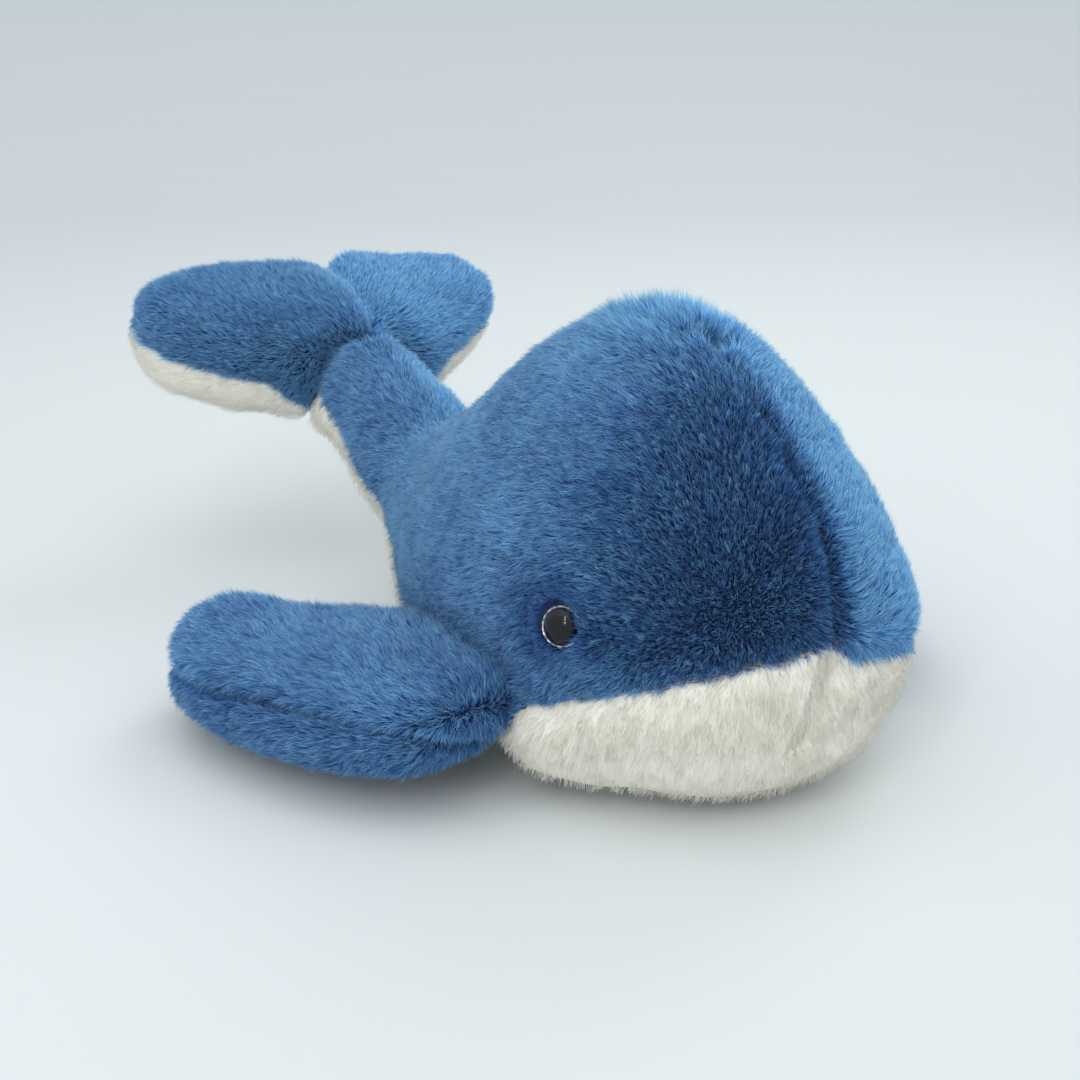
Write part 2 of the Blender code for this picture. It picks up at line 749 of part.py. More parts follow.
def centre_on_floor(root):
    """Moves the whale so that its box is centred over the origin and its belly rests on the floor."""
    bpy.context.view_layer.update()
    graph = bpy.context.evaluated_depsgraph_get()
    low = Vector((math.inf,) * 3)
    high = -low
    for obj in bpy.context.scene.objects:
        if obj.type != "MESH" or obj.hide_render:
            continue
        evaluated = obj.evaluated_get(graph)
        mesh = evaluated.to_mesh()
        for vertex in mesh.vertices:
            point = evaluated.matrix_world @ vertex.co
            low = Vector(map(min, low, point))
            high = Vector(map(max, high, point))
        evaluated.to_mesh_clear()
    root.location = (-(low.x + high.x) / 2, -(low.y + high.y) / 2, -low.z)
    bpy.context.view_layer.update()


def main():
    clear_scene()
    blue = make_material("blue_plush", (0.075, 0.165, 0.330), 0.90)
    cream = make_material("cream_plush", (0.800, 0.780, 0.690), 0.90)
    stuffing = make_material("polyester_stuffing", (0.850, 0.850, 0.840), 0.95)
    eye_plastic = make_material("eye_plastic", (0.010, 0.010, 0.012), 0.12)
    washer_plastic = make_material("washer_plastic", (0.800, 0.800, 0.780), 0.45)
    root = add_pivot("whale", None, (0.0, 0.0, 0.0))
    skin, pieces, tail_hinge = build_body(root, blue, cream, stuffing)
    sides = (
        ("right", -1, FLIPPER_SPAN_RIGHT, FLIPPER_SWEEP_RIGHT),
        ("left", 1, FLIPPER_SPAN_LEFT, FLIPPER_SWEEP_LEFT),
    )
    for name, side, span, sweep in sides:
        build_eye(name, side, skin, pieces, root, eye_plastic, washer_plastic)
        build_flipper(name, side, span, sweep, skin, pieces, root, blue, stuffing)
    tail_pivot, fluke_hinge = build_tail(root, tail_hinge, blue, cream, stuffing)
    build_flukes(tail_pivot, fluke_hinge, blue, cream, stuffing)
    centre_on_floor(root)
    for pivot in ("whale", "tail_pivot", "fluke_pivot", "flipper_pivot_right", "flipper_pivot_left"):
        place = bpy.data.objects[pivot].matrix_world.translation
        print(pivot, "stands at", [round(value, 5) for value in place])


main()
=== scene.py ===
import json
import math

import bmesh
import bpy
import numpy as np
from mathutils import Matrix, Vector, kdtree
from mathutils.bvhtree import BVHTree


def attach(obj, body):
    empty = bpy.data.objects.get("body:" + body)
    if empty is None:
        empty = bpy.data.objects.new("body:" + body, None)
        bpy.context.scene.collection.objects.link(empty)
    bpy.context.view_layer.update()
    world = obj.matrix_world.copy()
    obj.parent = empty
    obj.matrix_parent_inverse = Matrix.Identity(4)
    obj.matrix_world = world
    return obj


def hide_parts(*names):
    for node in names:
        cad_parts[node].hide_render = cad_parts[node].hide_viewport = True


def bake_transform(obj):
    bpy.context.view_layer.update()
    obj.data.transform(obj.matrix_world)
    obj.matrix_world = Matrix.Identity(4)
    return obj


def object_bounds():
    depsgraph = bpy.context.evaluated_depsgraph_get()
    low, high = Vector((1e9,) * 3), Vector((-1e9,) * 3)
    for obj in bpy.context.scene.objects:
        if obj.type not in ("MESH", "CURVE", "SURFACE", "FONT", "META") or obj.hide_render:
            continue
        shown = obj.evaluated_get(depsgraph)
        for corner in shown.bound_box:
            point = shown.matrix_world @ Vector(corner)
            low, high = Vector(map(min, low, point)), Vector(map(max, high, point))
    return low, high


# A blue plush whale on a pale studio floor. The skins are melted from the CAD solids and drawn in
# by the height of the pile, and the pile is grown on them as fine mesh fibres. Metres throughout.

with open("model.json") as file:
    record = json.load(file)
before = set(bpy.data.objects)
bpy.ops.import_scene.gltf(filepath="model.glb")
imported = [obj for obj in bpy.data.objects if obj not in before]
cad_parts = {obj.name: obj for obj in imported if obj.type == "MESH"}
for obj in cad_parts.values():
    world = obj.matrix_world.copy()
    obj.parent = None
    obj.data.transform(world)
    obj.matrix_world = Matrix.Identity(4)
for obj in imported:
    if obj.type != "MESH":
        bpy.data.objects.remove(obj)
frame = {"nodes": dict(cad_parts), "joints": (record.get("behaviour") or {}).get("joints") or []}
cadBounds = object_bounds()
nodes = frame["nodes"]
hinges = {joint["name"]: Vector(joint["pos_m"]) for joint in frame["joints"]}
tailHinge, flukeHinge = hinges["tail_lift"], hinges["fluke_tilt"]
middle = tailHinge.x  # the whale's own middle line
nose = cadBounds[0][1]

bodyPanels = ["body_panel_right", "body_panel_left", "belly_panel"]
tailPanels = ["tail_panel_upper", "tail_panel_lower"]
flukePanels = ["fluke_panel_upper", "fluke_panel_lower"]
creamPanels = ["belly_panel", "tail_panel_lower", "fluke_panel_lower"]


# Shader nodes

class Wire:
    # one output socket, so that shader maths reads as an expression

    def __init__(self, wiring, socket):
        self.wiring = wiring
        self.socket = socket

    def maths(self, operation, other, swapped=False):
        values = [other, self] if swapped else [self, other]
        return self.wiring.add("ShaderNodeMath", {"operation": operation}, {0: values[0], 1: values[1]})

    def __add__(self, other):
        return self.maths("ADD", other)

    def __radd__(self, other):
        return self.maths("ADD", other, True)

    def __sub__(self, other):
        return self.maths("SUBTRACT", other)

    def __rsub__(self, other):
        return self.maths("SUBTRACT", other, True)

    def __mul__(self, other):
        return self.maths("MULTIPLY", other)

    def __rmul__(self, other):
        return self.maths("MULTIPLY", other, True)


class Wiring:
    # a node tree, and one way to add any node to it

    def __init__(self, tree):
        self.tree = tree

    def give(self, node, values):
        for key, value in values.items():
            if isinstance(value, Wire):
                self.tree.links.new(value.socket, node.inputs[key])
            elif isinstance(value, tuple) and len(value) == 3 and node.inputs[key].type == "RGBA":
                node.inputs[key].default_value = (*value, 1.0)
            else:
                node.inputs[key].default_value = value

    def add(self, kind, settings, values, output=0):
        node = self.tree.nodes.new(kind)
        for key, value in settings.items():
            if key == "stops":
                self.setStops(node.color_ramp, value)
            else:
                setattr(node, key, value)
        self.give(node, values)
        return Wire(self, node.outputs[output])

    def setStops(self, ramp, stops):
        while len(ramp.elements) < len(stops):
            ramp.elements.new(1.0)
        for element, (place, colour) in zip(ramp.elements, stops):
            element.position = place
            element.color = (*colour, 1.0)

    def mix(self, factor, first, second, blend="MIX"):
        settings = {"data_type": "RGBA", "blend_type": blend}
        return self.add("ShaderNodeMix", settings, {0: factor, 6: first, 7: second}, 2)


class Finish(Wiring):
    # a material with its Principled shader

    def __init__(self, name, values):
        self.material = bpy.data.materials.new(name)
        self.material.use_nodes = True
        super().__init__(self.material.node_tree)
        self.shader = self.tree.nodes["Principled BSDF"]
        self.feed(values)

    def feed(self, values):
        self.give(self.shader, values)


# Points and meshes

def unit(vectors):
    return vectors / np.maximum(np.linalg.norm(vectors, axis=-1, keepdims=True), 1e-12)


def tangent(vectors, normals):
    return vectors - (vectors * normals).sum(1, keepdims=True) * normals


def rampUp(values, low, high):
    # from 0 at low to 1 at high
    share = np.clip((values - low) / (high - low), 0, 1)
    return share * share * (3 - 2 * share)


def hill(values, width):
    # 1 at nothing, falling away to both sides
    return np.exp(-((values / width) ** 2))


def ripple(points, size, seed):
    # smooth noise from -1 to 1, made of a few plane waves
    rng = np.random.default_rng(seed)
    waves = 7
    total = np.zeros(len(points))
    for _ in range(waves):
        direction = unit(rng.normal(size=3)) * (0.7 + 0.6 * rng.random()) * math.tau / size
        total += np.sin(points @ direction + rng.random() * math.tau)
    return total / waves * 1.9


def readMesh(mesh):
    points = np.empty(len(mesh.vertices) * 3)
    mesh.vertices.foreach_get("co", points)
    mesh.calc_loop_triangles()
    corners = np.empty(len(mesh.loop_triangles) * 3, int)
    mesh.loop_triangles.foreach_get("vertices", corners)
    return points.reshape(-1, 3), corners.reshape(-1, 3)


def normalsOf(points, triangles):
    a, b, c = (points[triangles[:, corner]] for corner in range(3))
    faces = np.cross(b - a, c - a)
    total = np.zeros_like(points)
    for corner in range(3):
        for axis in range(3):
            total[:, axis] += np.bincount(triangles[:, corner], faces[:, axis], len(points))
    return unit(total)


def relax(points, triangles, rounds, pulls=(0.5, -0.52)):
    # each pull moves every point that share of the way to the mean of its neighbours. The pair
    # smooths small steps and keeps the form, and a pull alone melts the form as well
    ends = np.concatenate([triangles[:, [0, 1]], triangles[:, [1, 2]], triangles[:, [2, 0]]])
    counts = np.maximum(np.bincount(ends[:, 0], minlength=len(points)), 1)
    for _ in range(rounds):
        for pull in pulls:
            sums = [np.bincount(ends[:, 0], points[ends[:, 1], axis], len(points)) for axis in range(3)]
            points = points + (np.stack(sums, 1) / counts[:, None] - points) * pull
    return points


def melt(names, voxel):
    # the named CAD solids as one closed surface
    points, triangles, start = [], [], 0
    for name in names:
        nodePoints, nodeTriangles = readMesh(nodes[name].data)
        points.append(nodePoints)
        triangles.append(nodeTriangles + start)
        start += len(nodePoints)
    mesh = bpy.data.meshes.new("melt")
    mesh.from_pydata(np.vstack(points).tolist(), [], np.vstack(triangles).tolist())
    holder = bpy.data.objects.new("melt", mesh)
    bpy.context.scene.collection.objects.link(holder)
    remesh = holder.modifiers.new("melt", "REMESH")
    remesh.mode = "VOXEL"
    remesh.voxel_size = voxel
    graph = bpy.context.evaluated_depsgraph_get()
    melted = bpy.data.meshes.new_from_object(holder.evaluated_get(graph))
    found = readMesh(melted)
    bpy.data.objects.remove(holder)
    bpy.data.meshes.remove(mesh)
    bpy.data.meshes.remove(melted)
    return found


def distancesTo(names, points):
    # a column for each named CAD solid
    found = []
    for name in names:
        nodePoints, nodeTriangles = readMesh(nodes[name].data)
        tree = BVHTree.FromPolygons(nodePoints.tolist(), nodeTriangles.tolist())
        found.append([tree.find_nearest(point)[3] for point in points.tolist()])
    return np.array(found).T


def addObject(name, mesh, finish):
    piece = bpy.data.objects.new(name, mesh)
    bpy.context.scene.collection.objects.link(piece)
    mesh.materials.append(finish.material)
    return piece


# Finishes

plushLooks = {
    "bluePlush": {
        # the blue runs to near black at the root, painted shade deep in the pile
        "root": (0.003, 0.014, 0.060),
        "middle": (0.070, 0.272, 0.790),
        "tip": (0.300, 0.690, 1.000),
        "sheen": 0.42,
        "sheenColour": (0.48, 0.74, 1.0),
        "darkest": (0.20, 0.28, 0.42),  # the darkest and the lightest fibres are tinted with these
        "lightest": (1.40, 1.30, 1.08),
    },
    "creamPlush": {
        "root": (0.975, 0.940, 0.840),
        "middle": (0.990, 0.965, 0.875),
        "tip": (1.000, 0.980, 0.895),
        "sheen": 0.50,
        "sheenColour": (1.0, 0.98, 0.93),
        "darkest": (0.86, 0.85, 0.81),
        "lightest": (1.0, 1.0, 1.0),
    },
}


def plushFinish(name):
    # furTone holds a fibre's tone in x, its random tone with painted shade and painted light added, and the
    # share of the way to its tip in y
    look = plushLooks[name]
    finish = Finish(name, {"Roughness": 0.78, "Specular IOR Level": 0.08, "Sheen Weight": look["sheen"],
                           "Sheen Roughness": 0.5, "Sheen Tint": look["sheenColour"]})
    furTone = finish.add("ShaderNodeAttribute", {"attribute_name": "furTone"}, {}, 1)
    tone = finish.add("ShaderNodeSeparateXYZ", {}, {0: furTone}, 0)
    along = finish.add("ShaderNodeSeparateXYZ", {}, {0: furTone}, 1)
    stops = [(0.0, look["root"]), (0.45, look["middle"]), (1.0, look["tip"])]
    colour = finish.add("ShaderNodeValToRGB", {"stops": stops}, {0: along})
    darker = finish.mix(1.0, colour, look["darkest"], "MULTIPLY")
    lighter = finish.mix(1.0, colour, look["lightest"], "MULTIPLY")
    finish.feed({"Base Color": finish.mix(tone, darker, lighter)})
    return finish


skinLook = {
    "blue": ((0.005, 0.018, 0.058), (0.011, 0.036, 0.095)),  # in the knit's hollows and on its loops, near black as painted shade deep in the pile
    "cream": ((0.94, 0.91, 0.82), (0.99, 0.965, 0.885)),
    "knitScale": 900.0,
    "strandScale": (700.0, 700.0, 110.0),
    "knitRelief": 0.3,
    "relief": 0.0004,
}


def skinFinish(name):
    # the knitted backing and the undercoat that stands on it
    finish = Finish(name, {"Roughness": 0.9, "Specular IOR Level": 0.12, "Sheen Weight": 0.08})
    cream = finish.add("ShaderNodeAttribute", {"attribute_name": "creamShare"}, {}, 2)
    place = finish.add("ShaderNodeTexCoord", {}, {}, 3)
    knit = finish.add("ShaderNodeTexVoronoi", {"feature": "F1"},
                      {"Vector": place, "Scale": skinLook["knitScale"]})
    drawn = finish.add("ShaderNodeVectorMath", {"operation": "MULTIPLY"},
                       {0: place, 1: skinLook["strandScale"]})
    strands = finish.add("ShaderNodeTexNoise", {}, {"Vector": drawn, "Scale": 1.0, "Detail": 3.0})
    # the blue skin is painted shade under the pile
    blue = finish.mix(knit, *skinLook["blue"])
    pale = finish.mix(strands, *skinLook["cream"])
    height = strands + knit * skinLook["knitRelief"]
    bump = finish.add("ShaderNodeBump", {},
                      {"Height": height, "Strength": 0.3, "Distance": skinLook["relief"]})
    finish.feed({"Base Color": finish.mix(cream, blue, pale), "Normal": bump})
    return finish


bluePlush = plushFinish("bluePlush")
creamPlush = plushFinish("creamPlush")
skinCloth = skinFinish("skinCloth")


# Eyes

eyeShape = {
    "radius": 0.0060,
    "lip": 0.00060,
    "rim": (  # reach as a share of the radius less a share of the lip, height, and eyeRing
        (0.00, 0.0, -0.0020, 0.93),
        (0.75, 0.0, -0.0020, 0.93),
        (1.00, 0.0, -0.0006, 0.93),
        (1.00, 0.0, 0.0003, 0.96),
        (1.00, 0.4, 0.0007, 1.00),
        (1.00, 1.0, 0.0006, 0.95),
    ),
    "rise": 0.0006,
    "dip": 0.0004,  # the groove between the lip and the dome
    "dome": 0.0027,
    "domeRing": 0.94,
    "seat": 0.0052,  # how far the lip lies below the solid eye's own top
    "shift": (0.0, -0.0015, -0.0006),
    "turnIn": (0.0, -0.26, 0.05),  # the stuffing tips the eye forwards
    "steps": 14,
    "turns": 56,
}

eyeLook = {
    # the last stop is light grey, a painted highlight on the lip
    "stops": [(0.0, (0.003, 0.003, 0.005)), (0.50, (0.003, 0.003, 0.005)), (0.74, (0.008, 0.010, 0.022)),
              (0.90, (0.004, 0.004, 0.008)), (0.945, (0.006, 0.006, 0.008)), (0.965, (0.70, 0.66, 0.64))],
    "highlightRimFrom": 0.955,
    "rimBreaks": (0.10, 0.09, 0.10),
    "cloud": (0.02, 0.02, 0.03),
    "cloudScale": 420.0,
    "breakScale": 1100.0,
}


def eyeAxis(side):
    eye = readMesh(nodes["eye_" + side].data)[0]
    washer = readMesh(nodes["eye_washer_" + side].data)[0]
    way = Vector(eye.mean(0) - washer.mean(0)).normalized()
    reach = (eye @ np.array(way)).max()
    washerMiddle = Vector((washer.min(0) + washer.max(0)) / 2)
    apex = washerMiddle + way * (reach - washerMiddle.dot(way))
    base = apex - way * eyeShape["seat"] + Vector(eyeShape["shift"])
    return base, (way + Vector(eyeShape["turnIn"])).normalized(), way


def eyeFinish():
    # eyeRing runs from the top of the dome out to the ring at the lip, which is painted light grey as a
    # highlight
    finish = Finish("eyePlastic", {"Specular IOR Level": 0.32})
    eyeRing = finish.add("ShaderNodeAttribute", {"attribute_name": "eyeRing"}, {}, 2)
    place = finish.add("ShaderNodeTexCoord", {}, {}, 3)
    cloud = finish.add("ShaderNodeTexNoise", {},
                       {"Vector": place, "Scale": eyeLook["cloudScale"], "Detail": 3.0})
    breakNoise = finish.add("ShaderNodeTexNoise", {},
                      {"Vector": place, "Scale": eyeLook["breakScale"], "Detail": 2.0})
    ring = finish.add("ShaderNodeValToRGB", {"stops": eyeLook["stops"]}, {0: eyeRing})
    # the ring at the lip: a painted highlight in its colour, and metallic so that it also reflects the
    # lamps; noise breaks it into dashes
    highlightRim = finish.add("ShaderNodeMath", {"operation": "GREATER_THAN"},
                        {0: eyeRing, 1: eyeLook["highlightRimFrom"]})
    rimBreaks = finish.add("ShaderNodeClamp", {}, {0: (breakNoise - 0.42) * 5.0 * highlightRim})
    rim = finish.mix(rimBreaks, ring, eyeLook["rimBreaks"])
    finish.feed({"Base Color": finish.mix(cloud * 0.2, rim, eyeLook["cloud"]),
                 "Roughness": 0.07 + cloud * 0.05 + highlightRim * 0.18, "Metallic": highlightRim * 0.7})
    return finish


def eyeProfile():
    # reach, height and eyeRing from the back over the lip to the top of the dome
    shape = eyeShape
    profile = [(shape["radius"] * share - shape["lip"] * lipShare, height, ring)
               for share, lipShare, height, ring in shape["rim"]]
    inner = shape["radius"] - shape["lip"]
    for step in range(shape["steps"] + 1):
        angle = math.pi / 2 * step / shape["steps"]
        reach = inner * math.cos(angle) if step < shape["steps"] else 0.0
        height = shape["rise"] - shape["dip"] + (shape["dome"] + shape["dip"]) * math.sin(angle)
        profile.append((reach, height, shape["domeRing"] * math.cos(angle)))
    return profile


def buildEye(side, finish):
    base, way, axis = eyeAxis(side)
    turns = eyeShape["turns"]
    bm = bmesh.new()
    ring = bm.verts.layers.float.new("eyeRing")
    rows = []
    for radius, height, share in eyeProfile():
        angles = [math.tau * turn / turns for turn in range(turns)] if radius > 0 else [0.0]
        spots = [(radius * math.cos(angle), radius * math.sin(angle), height) for angle in angles]
        row = [bm.verts.new(spot) for spot in spots]
        for vertex in row:
            vertex[ring] = share
        rows.append(row)
    for low, high in zip(rows, rows[1:]):
        for index in range(turns):
            after = (index + 1) % turns
            corners = [low[index % len(low)], low[after % len(low)],
                       high[after % len(high)], high[index % len(high)]]
            kept = [corner for place, corner in enumerate(corners) if corner not in corners[:place]]
            bm.faces.new(kept)
    bmesh.ops.recalc_face_normals(bm, faces=bm.faces)
    turn = way.to_track_quat("Z", "Y").to_matrix().to_4x4()
    bmesh.ops.transform(bm, matrix=Matrix.Translation(base) @ turn, verts=bm.verts)
    mesh = bpy.data.meshes.new("eye_dome_" + side)
    bm.to_mesh(mesh)
    bm.free()
    piece = addObject("eye_dome_" + side, mesh, finish)
    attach(piece, "body")
    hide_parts("eye_" + side)
    return {"place": np.array(base), "way": np.array(way), "axis": np.array(axis)}


def washerFinish():
    finish = Finish("washerPlastic", {"Roughness": 0.45})
    place = finish.add("ShaderNodeTexCoord", {}, {}, 3)
    cloud = finish.add("ShaderNodeTexNoise", {}, {"Vector": place, "Scale": 350.0})
    finish.feed({"Base Color": finish.mix(cloud, (0.72, 0.72, 0.69), (0.82, 0.82, 0.80))})
    return finish


eyePlastic = eyeFinish()
eyes = {side: buildEye(side, eyePlastic) for side in ("right", "left")}
washerPlastic = washerFinish()
for side in eyes:
    nodes["eye_washer_" + side].data.materials.clear()
    nodes["eye_washer_" + side].data.materials.append(washerPlastic.material)
print("eyes made")


def aroundEye(points, eye):
    # the way from the eye to each point, the same laid flat across the eye, and that one's length
    off = points - eye["place"]
    flat = off - (off @ eye["way"])[:, None] * eye["way"]
    return off, flat, np.linalg.norm(flat, axis=1)


# Body, tail and flukes: one surface, parted later where nothing bends

# places on the whale are given as across from its middle line, behind its nose and over the floor,
# and waves as their size and their seed
whaleSkin = {
    "voxel": 0.0025,
    "rounds": 6,
    "lastRounds": 2,
    "bluePile": 0.0044,
    "creamPile": 0.0020,
    "tailPile": 0.0036,
    "tailPileRun": 0.02,
    "partedAt": 0.52,  # of the way from the tail's hinge to the flukes'
    "seamDip": 0.0010,
    "seamWidth": 0.0035,
    "dorsalDip": 0.0030,
    "dorsalWidth": 0.0023,
    "dorsalWander": 0.0013,  # the back seam isn't sewn quite straight
    "dorsalWaves": (0.016, 5),
    "dorsalDepths": (0.65, 0.35, 0.020, 6),  # nor drawn in evenly: mean, change and waves
    "rootDip": 0.0040,  # the crease where the flukes are sewn to the stock
    "rootWidth": 0.0042,
    "blowhole": (0.0057, 0.0645, 0.1315),
    "blowholeDip": 0.0090,
    "blowholeWidth": 0.0048,
    "dartAcross": -0.0024,  # the fold under the mouth, from its top
    "dartSlant": 0.15,
    "dartHigh": 0.058,
    "dartLow": 0.014,
    "dartFade": 0.010,
    "dartBehind": 0.05,
    "dartWander": 0.0010,
    "dartWaves": (0.012, 7),
    "dartEase": 0.4,  # steep on the whale's right, easy on its left
    "dartDip": 0.0038,
    "dartWidth": 0.0030,
    "dartStep": 0.0030,  # the cloth lies further in on the whale's left of it
    "dartStepRun": (-0.001, 0.003),
    "dartStepFade": 0.020,
    "crest": (-0.0010, 0.0886),  # where the pile on the crown stands up
    "crestWidth": (0.0180, 0.0190),
    "crestOver": 0.1,
    "crestRise": 0.0012,
    "cheekDrop": 0.0070,  # how far the blue hangs lower behind the flippers
    "cheekRun": (0.082, 0.107),
    "cheekEnd": (0.245, 0.275),
    "cornerDrop": 0.010,  # and at the front of each flipper
    "cornerBehind": 0.074,
    "cornerWidth": 0.013,
    "lipDrop": 0.0052,  # and beside the nose on the left
    "lipRun": (0.0, 0.010),
    "lipEnd": (0.027, 0.067),
    "flukeDrop": 0.0085,  # and under the flukes beside the stock
    "flukeDropAcross": 0.022,
    "flukeDropWidth": 0.013,
    "flukeDropEnd": (0.118, 0.135),  # along the frame's own Y
    "edgeWander": 0.0009,
    "edgeWaves": (0.013, 9),
    "valley": 0.0045,  # the fold between the two lobes
    "valleyAcross": 0.0085,
    "valleyWidth": 0.0060,
    "ridge": 0.0030,
    "ridgeAcross": -0.0030,
    "ridgeWidth": 0.0110,
    "lobeTop": (0.1, 0.6),  # how far up the cloth faces there
    "lobeEdge": (0.2, 0.7),  # and how far sideways at the lobes' edge
    "lobeStart": 0.010,
    "tipRun": (0.052, 0.084),  # the lobes round off to their tips
    "tipRounds": 26,
    "lobeGrowth": (0.0028, 0.0050),  # stuffing in the tips, right and left
    "lobeGrowthRun": (0.052, 0.080),
    "leftLobeFall": 0.0036,
    "leftLobeRun": (0.02, 0.04),
    "swells": (  # place, width and height of each place that is stuffed fuller
        (0.0620, 0.0640, 0.0170, 0.0130, 0.0050),  # the chin before each flipper
        (-0.0620, 0.0640, 0.0170, 0.0130, 0.0050),
        (-0.0500, 0.0550, 0.0100, 0.0160, 0.0035),
        (0.0320, 0.0100, 0.0570, 0.0180, 0.0032),  # the left cheek
        (0.0165, 0.0665, 0.1290, 0.0180, 0.0022),  # the crown
        (0.0235, 0.2870, 0.0600, 0.0140, 0.0070),  # under the root of each lobe
        (-0.0235, 0.2870, 0.0600, 0.0140, 0.0070),
        (-0.0640, 0.3180, 0.0720, 0.0180, 0.0042),  # and under the right lobe
        (-0.0480, 0.3000, 0.0650, 0.0140, 0.0030),
    ),
    "waist": 0.215,  # the body runs on into the stock here
    "waistWidth": 0.020,
    "waistRounds": 70,
    "washerCover": 0.0012,  # cloth over the eye's washer
    "washerReach": 0.02,
    "washerFade": 0.004,
    "eyeHollow": 0.0055,  # the cloth is drawn in behind each eye
    "eyeHollowAway": (0.0070, 0.0022),
    "eyeHollowWidth": 0.0074,
    "eyeBrow": 0.0030,  # and stands proud before the right one
    "eyeBrowAway": (-0.0090, 0.0005),
    "eyeBrowWidth": 0.0055,
    "creamFade": 0.002,  # how wide the skin's blue turns to cream
}

tailLine = flukeHinge - tailHinge
tailWay = tailLine.normalized()
tailCut = tailHinge + tailLine * whaleSkin["partedAt"]


def creamField(points, gaps, blueGap, creamGap):
    # over zero where the cloth is cream: the solids' own edge, moved as it is sewn
    shape = whaleSkin
    across, behind = points[:, 0] - middle, points[:, 1] - nose
    cream = blueGap - creamGap
    cheek = shape["cheekDrop"] * rampUp(behind, *shape["cheekRun"])
    cream -= cheek * (1 - rampUp(behind, *shape["cheekEnd"]))
    cream -= shape["cornerDrop"] * hill(behind - shape["cornerBehind"], shape["cornerWidth"])
    cream -= shape["lipDrop"] * rampUp(across, *shape["lipRun"]) * (1 - rampUp(behind, *shape["lipEnd"]))
    beside = hill(np.abs(across) - shape["flukeDropAcross"], shape["flukeDropWidth"])
    atFluke = gaps[:, 5:7].min(1) < gaps[:, :5].min(1)
    cream -= shape["flukeDrop"] * beside * atFluke * (1 - rampUp(points[:, 1], *shape["flukeDropEnd"]))
    cream += shape["edgeWander"] * ripple(points, *shape["edgeWaves"])
    return cream


def whaleFields(points):
    # how far each point of the skin is from its seams, folds and edges
    shape = whaleSkin
    names = bodyPanels + tailPanels + flukePanels
    gaps = distancesTo(names, points)
    across, behind, z = points[:, 0] - middle, points[:, 1] - nose, points[:, 2]
    blueGap = gaps[:, [names.index(name) for name in names if name not in creamPanels]].min(1)
    creamGap = gaps[:, [names.index(name) for name in creamPanels]].min(1)
    cream = creamField(points, gaps, blueGap, creamGap)
    wander = shape["dorsalWander"] * ripple(points, *shape["dorsalWaves"])
    dorsal = np.where(gaps.argmin(1) < 2, np.abs(gaps[:, 0] - gaps[:, 1] + wander), 1.0)
    past = across - shape["dartAcross"] + (shape["dartHigh"] - z) * shape["dartSlant"]
    past += shape["dartWander"] * ripple(points, *shape["dartWaves"])
    chin = (cream > 0) * (behind < shape["dartBehind"])
    chin = chin * rampUp(z, shape["dartLow"], shape["dartLow"] + shape["dartFade"])
    dart = np.where(past > 0, past * shape["dartEase"], -past) + (1 - chin)
    step = rampUp(past, *shape["dartStepRun"]) * np.exp(-np.maximum(past, 0) / shape["dartStepFade"])
    tailGap, flukeGap = gaps[:, 3:5].min(1), gaps[:, 5:7].min(1)
    crest = ((across - shape["crest"][0]) / shape["crestWidth"][0]) ** 2
    crest += ((behind - shape["crest"][1]) / shape["crestWidth"][1]) ** 2
    hole = Vector((middle, nose, 0)) + Vector(shape["blowhole"])
    seats = [name for name in nodes if name.startswith("flipper_upper")]
    return {
        "cream": cream,
        "dorsal": dorsal,
        "dart": dart,
        "step": step * chin,
        "seam": np.minimum(np.minimum(np.abs(cream), dorsal), dart),
        "root": np.maximum(tailGap, flukeGap),
        "lobe": tailGap - flukeGap,
        "crest": np.exp(-crest) * (z > shape["crestOver"]),
        "blowhole": np.linalg.norm(points - np.array(hole), axis=1),
        "stock": (points - np.array(tailCut)) @ np.array(tailWay),
        "seat": distancesTo(seats, points).min(1),
    }


whaleBrush = {
    "stockRun": (0.02, 0.05),  # the pile turns up along the stock, from here and over this length
    "face": (0.018, 0.062),
    "back": (0.80, 0.45),  # and how much less of it on the face
    "outward": (0.25, 0.7),  # and how much more beside the back seam
    "outwardFall": -0.5,
    "down": (0.20, 1.0, 2.0),  # less on the face, more over the mouth
    "partingReach": 0.012,
    "mouthReach": 0.006,
    "holeReach": 0.008,
    "holePull": 1.6,
    "eyeReach": 0.014,
    "eyePull": 1.6,
    "dartReach": 0.010,
    "creamBack": 0.35,
    "creamBeside": 0.55,
    "lobeRun": (-0.003, 0.003),
}


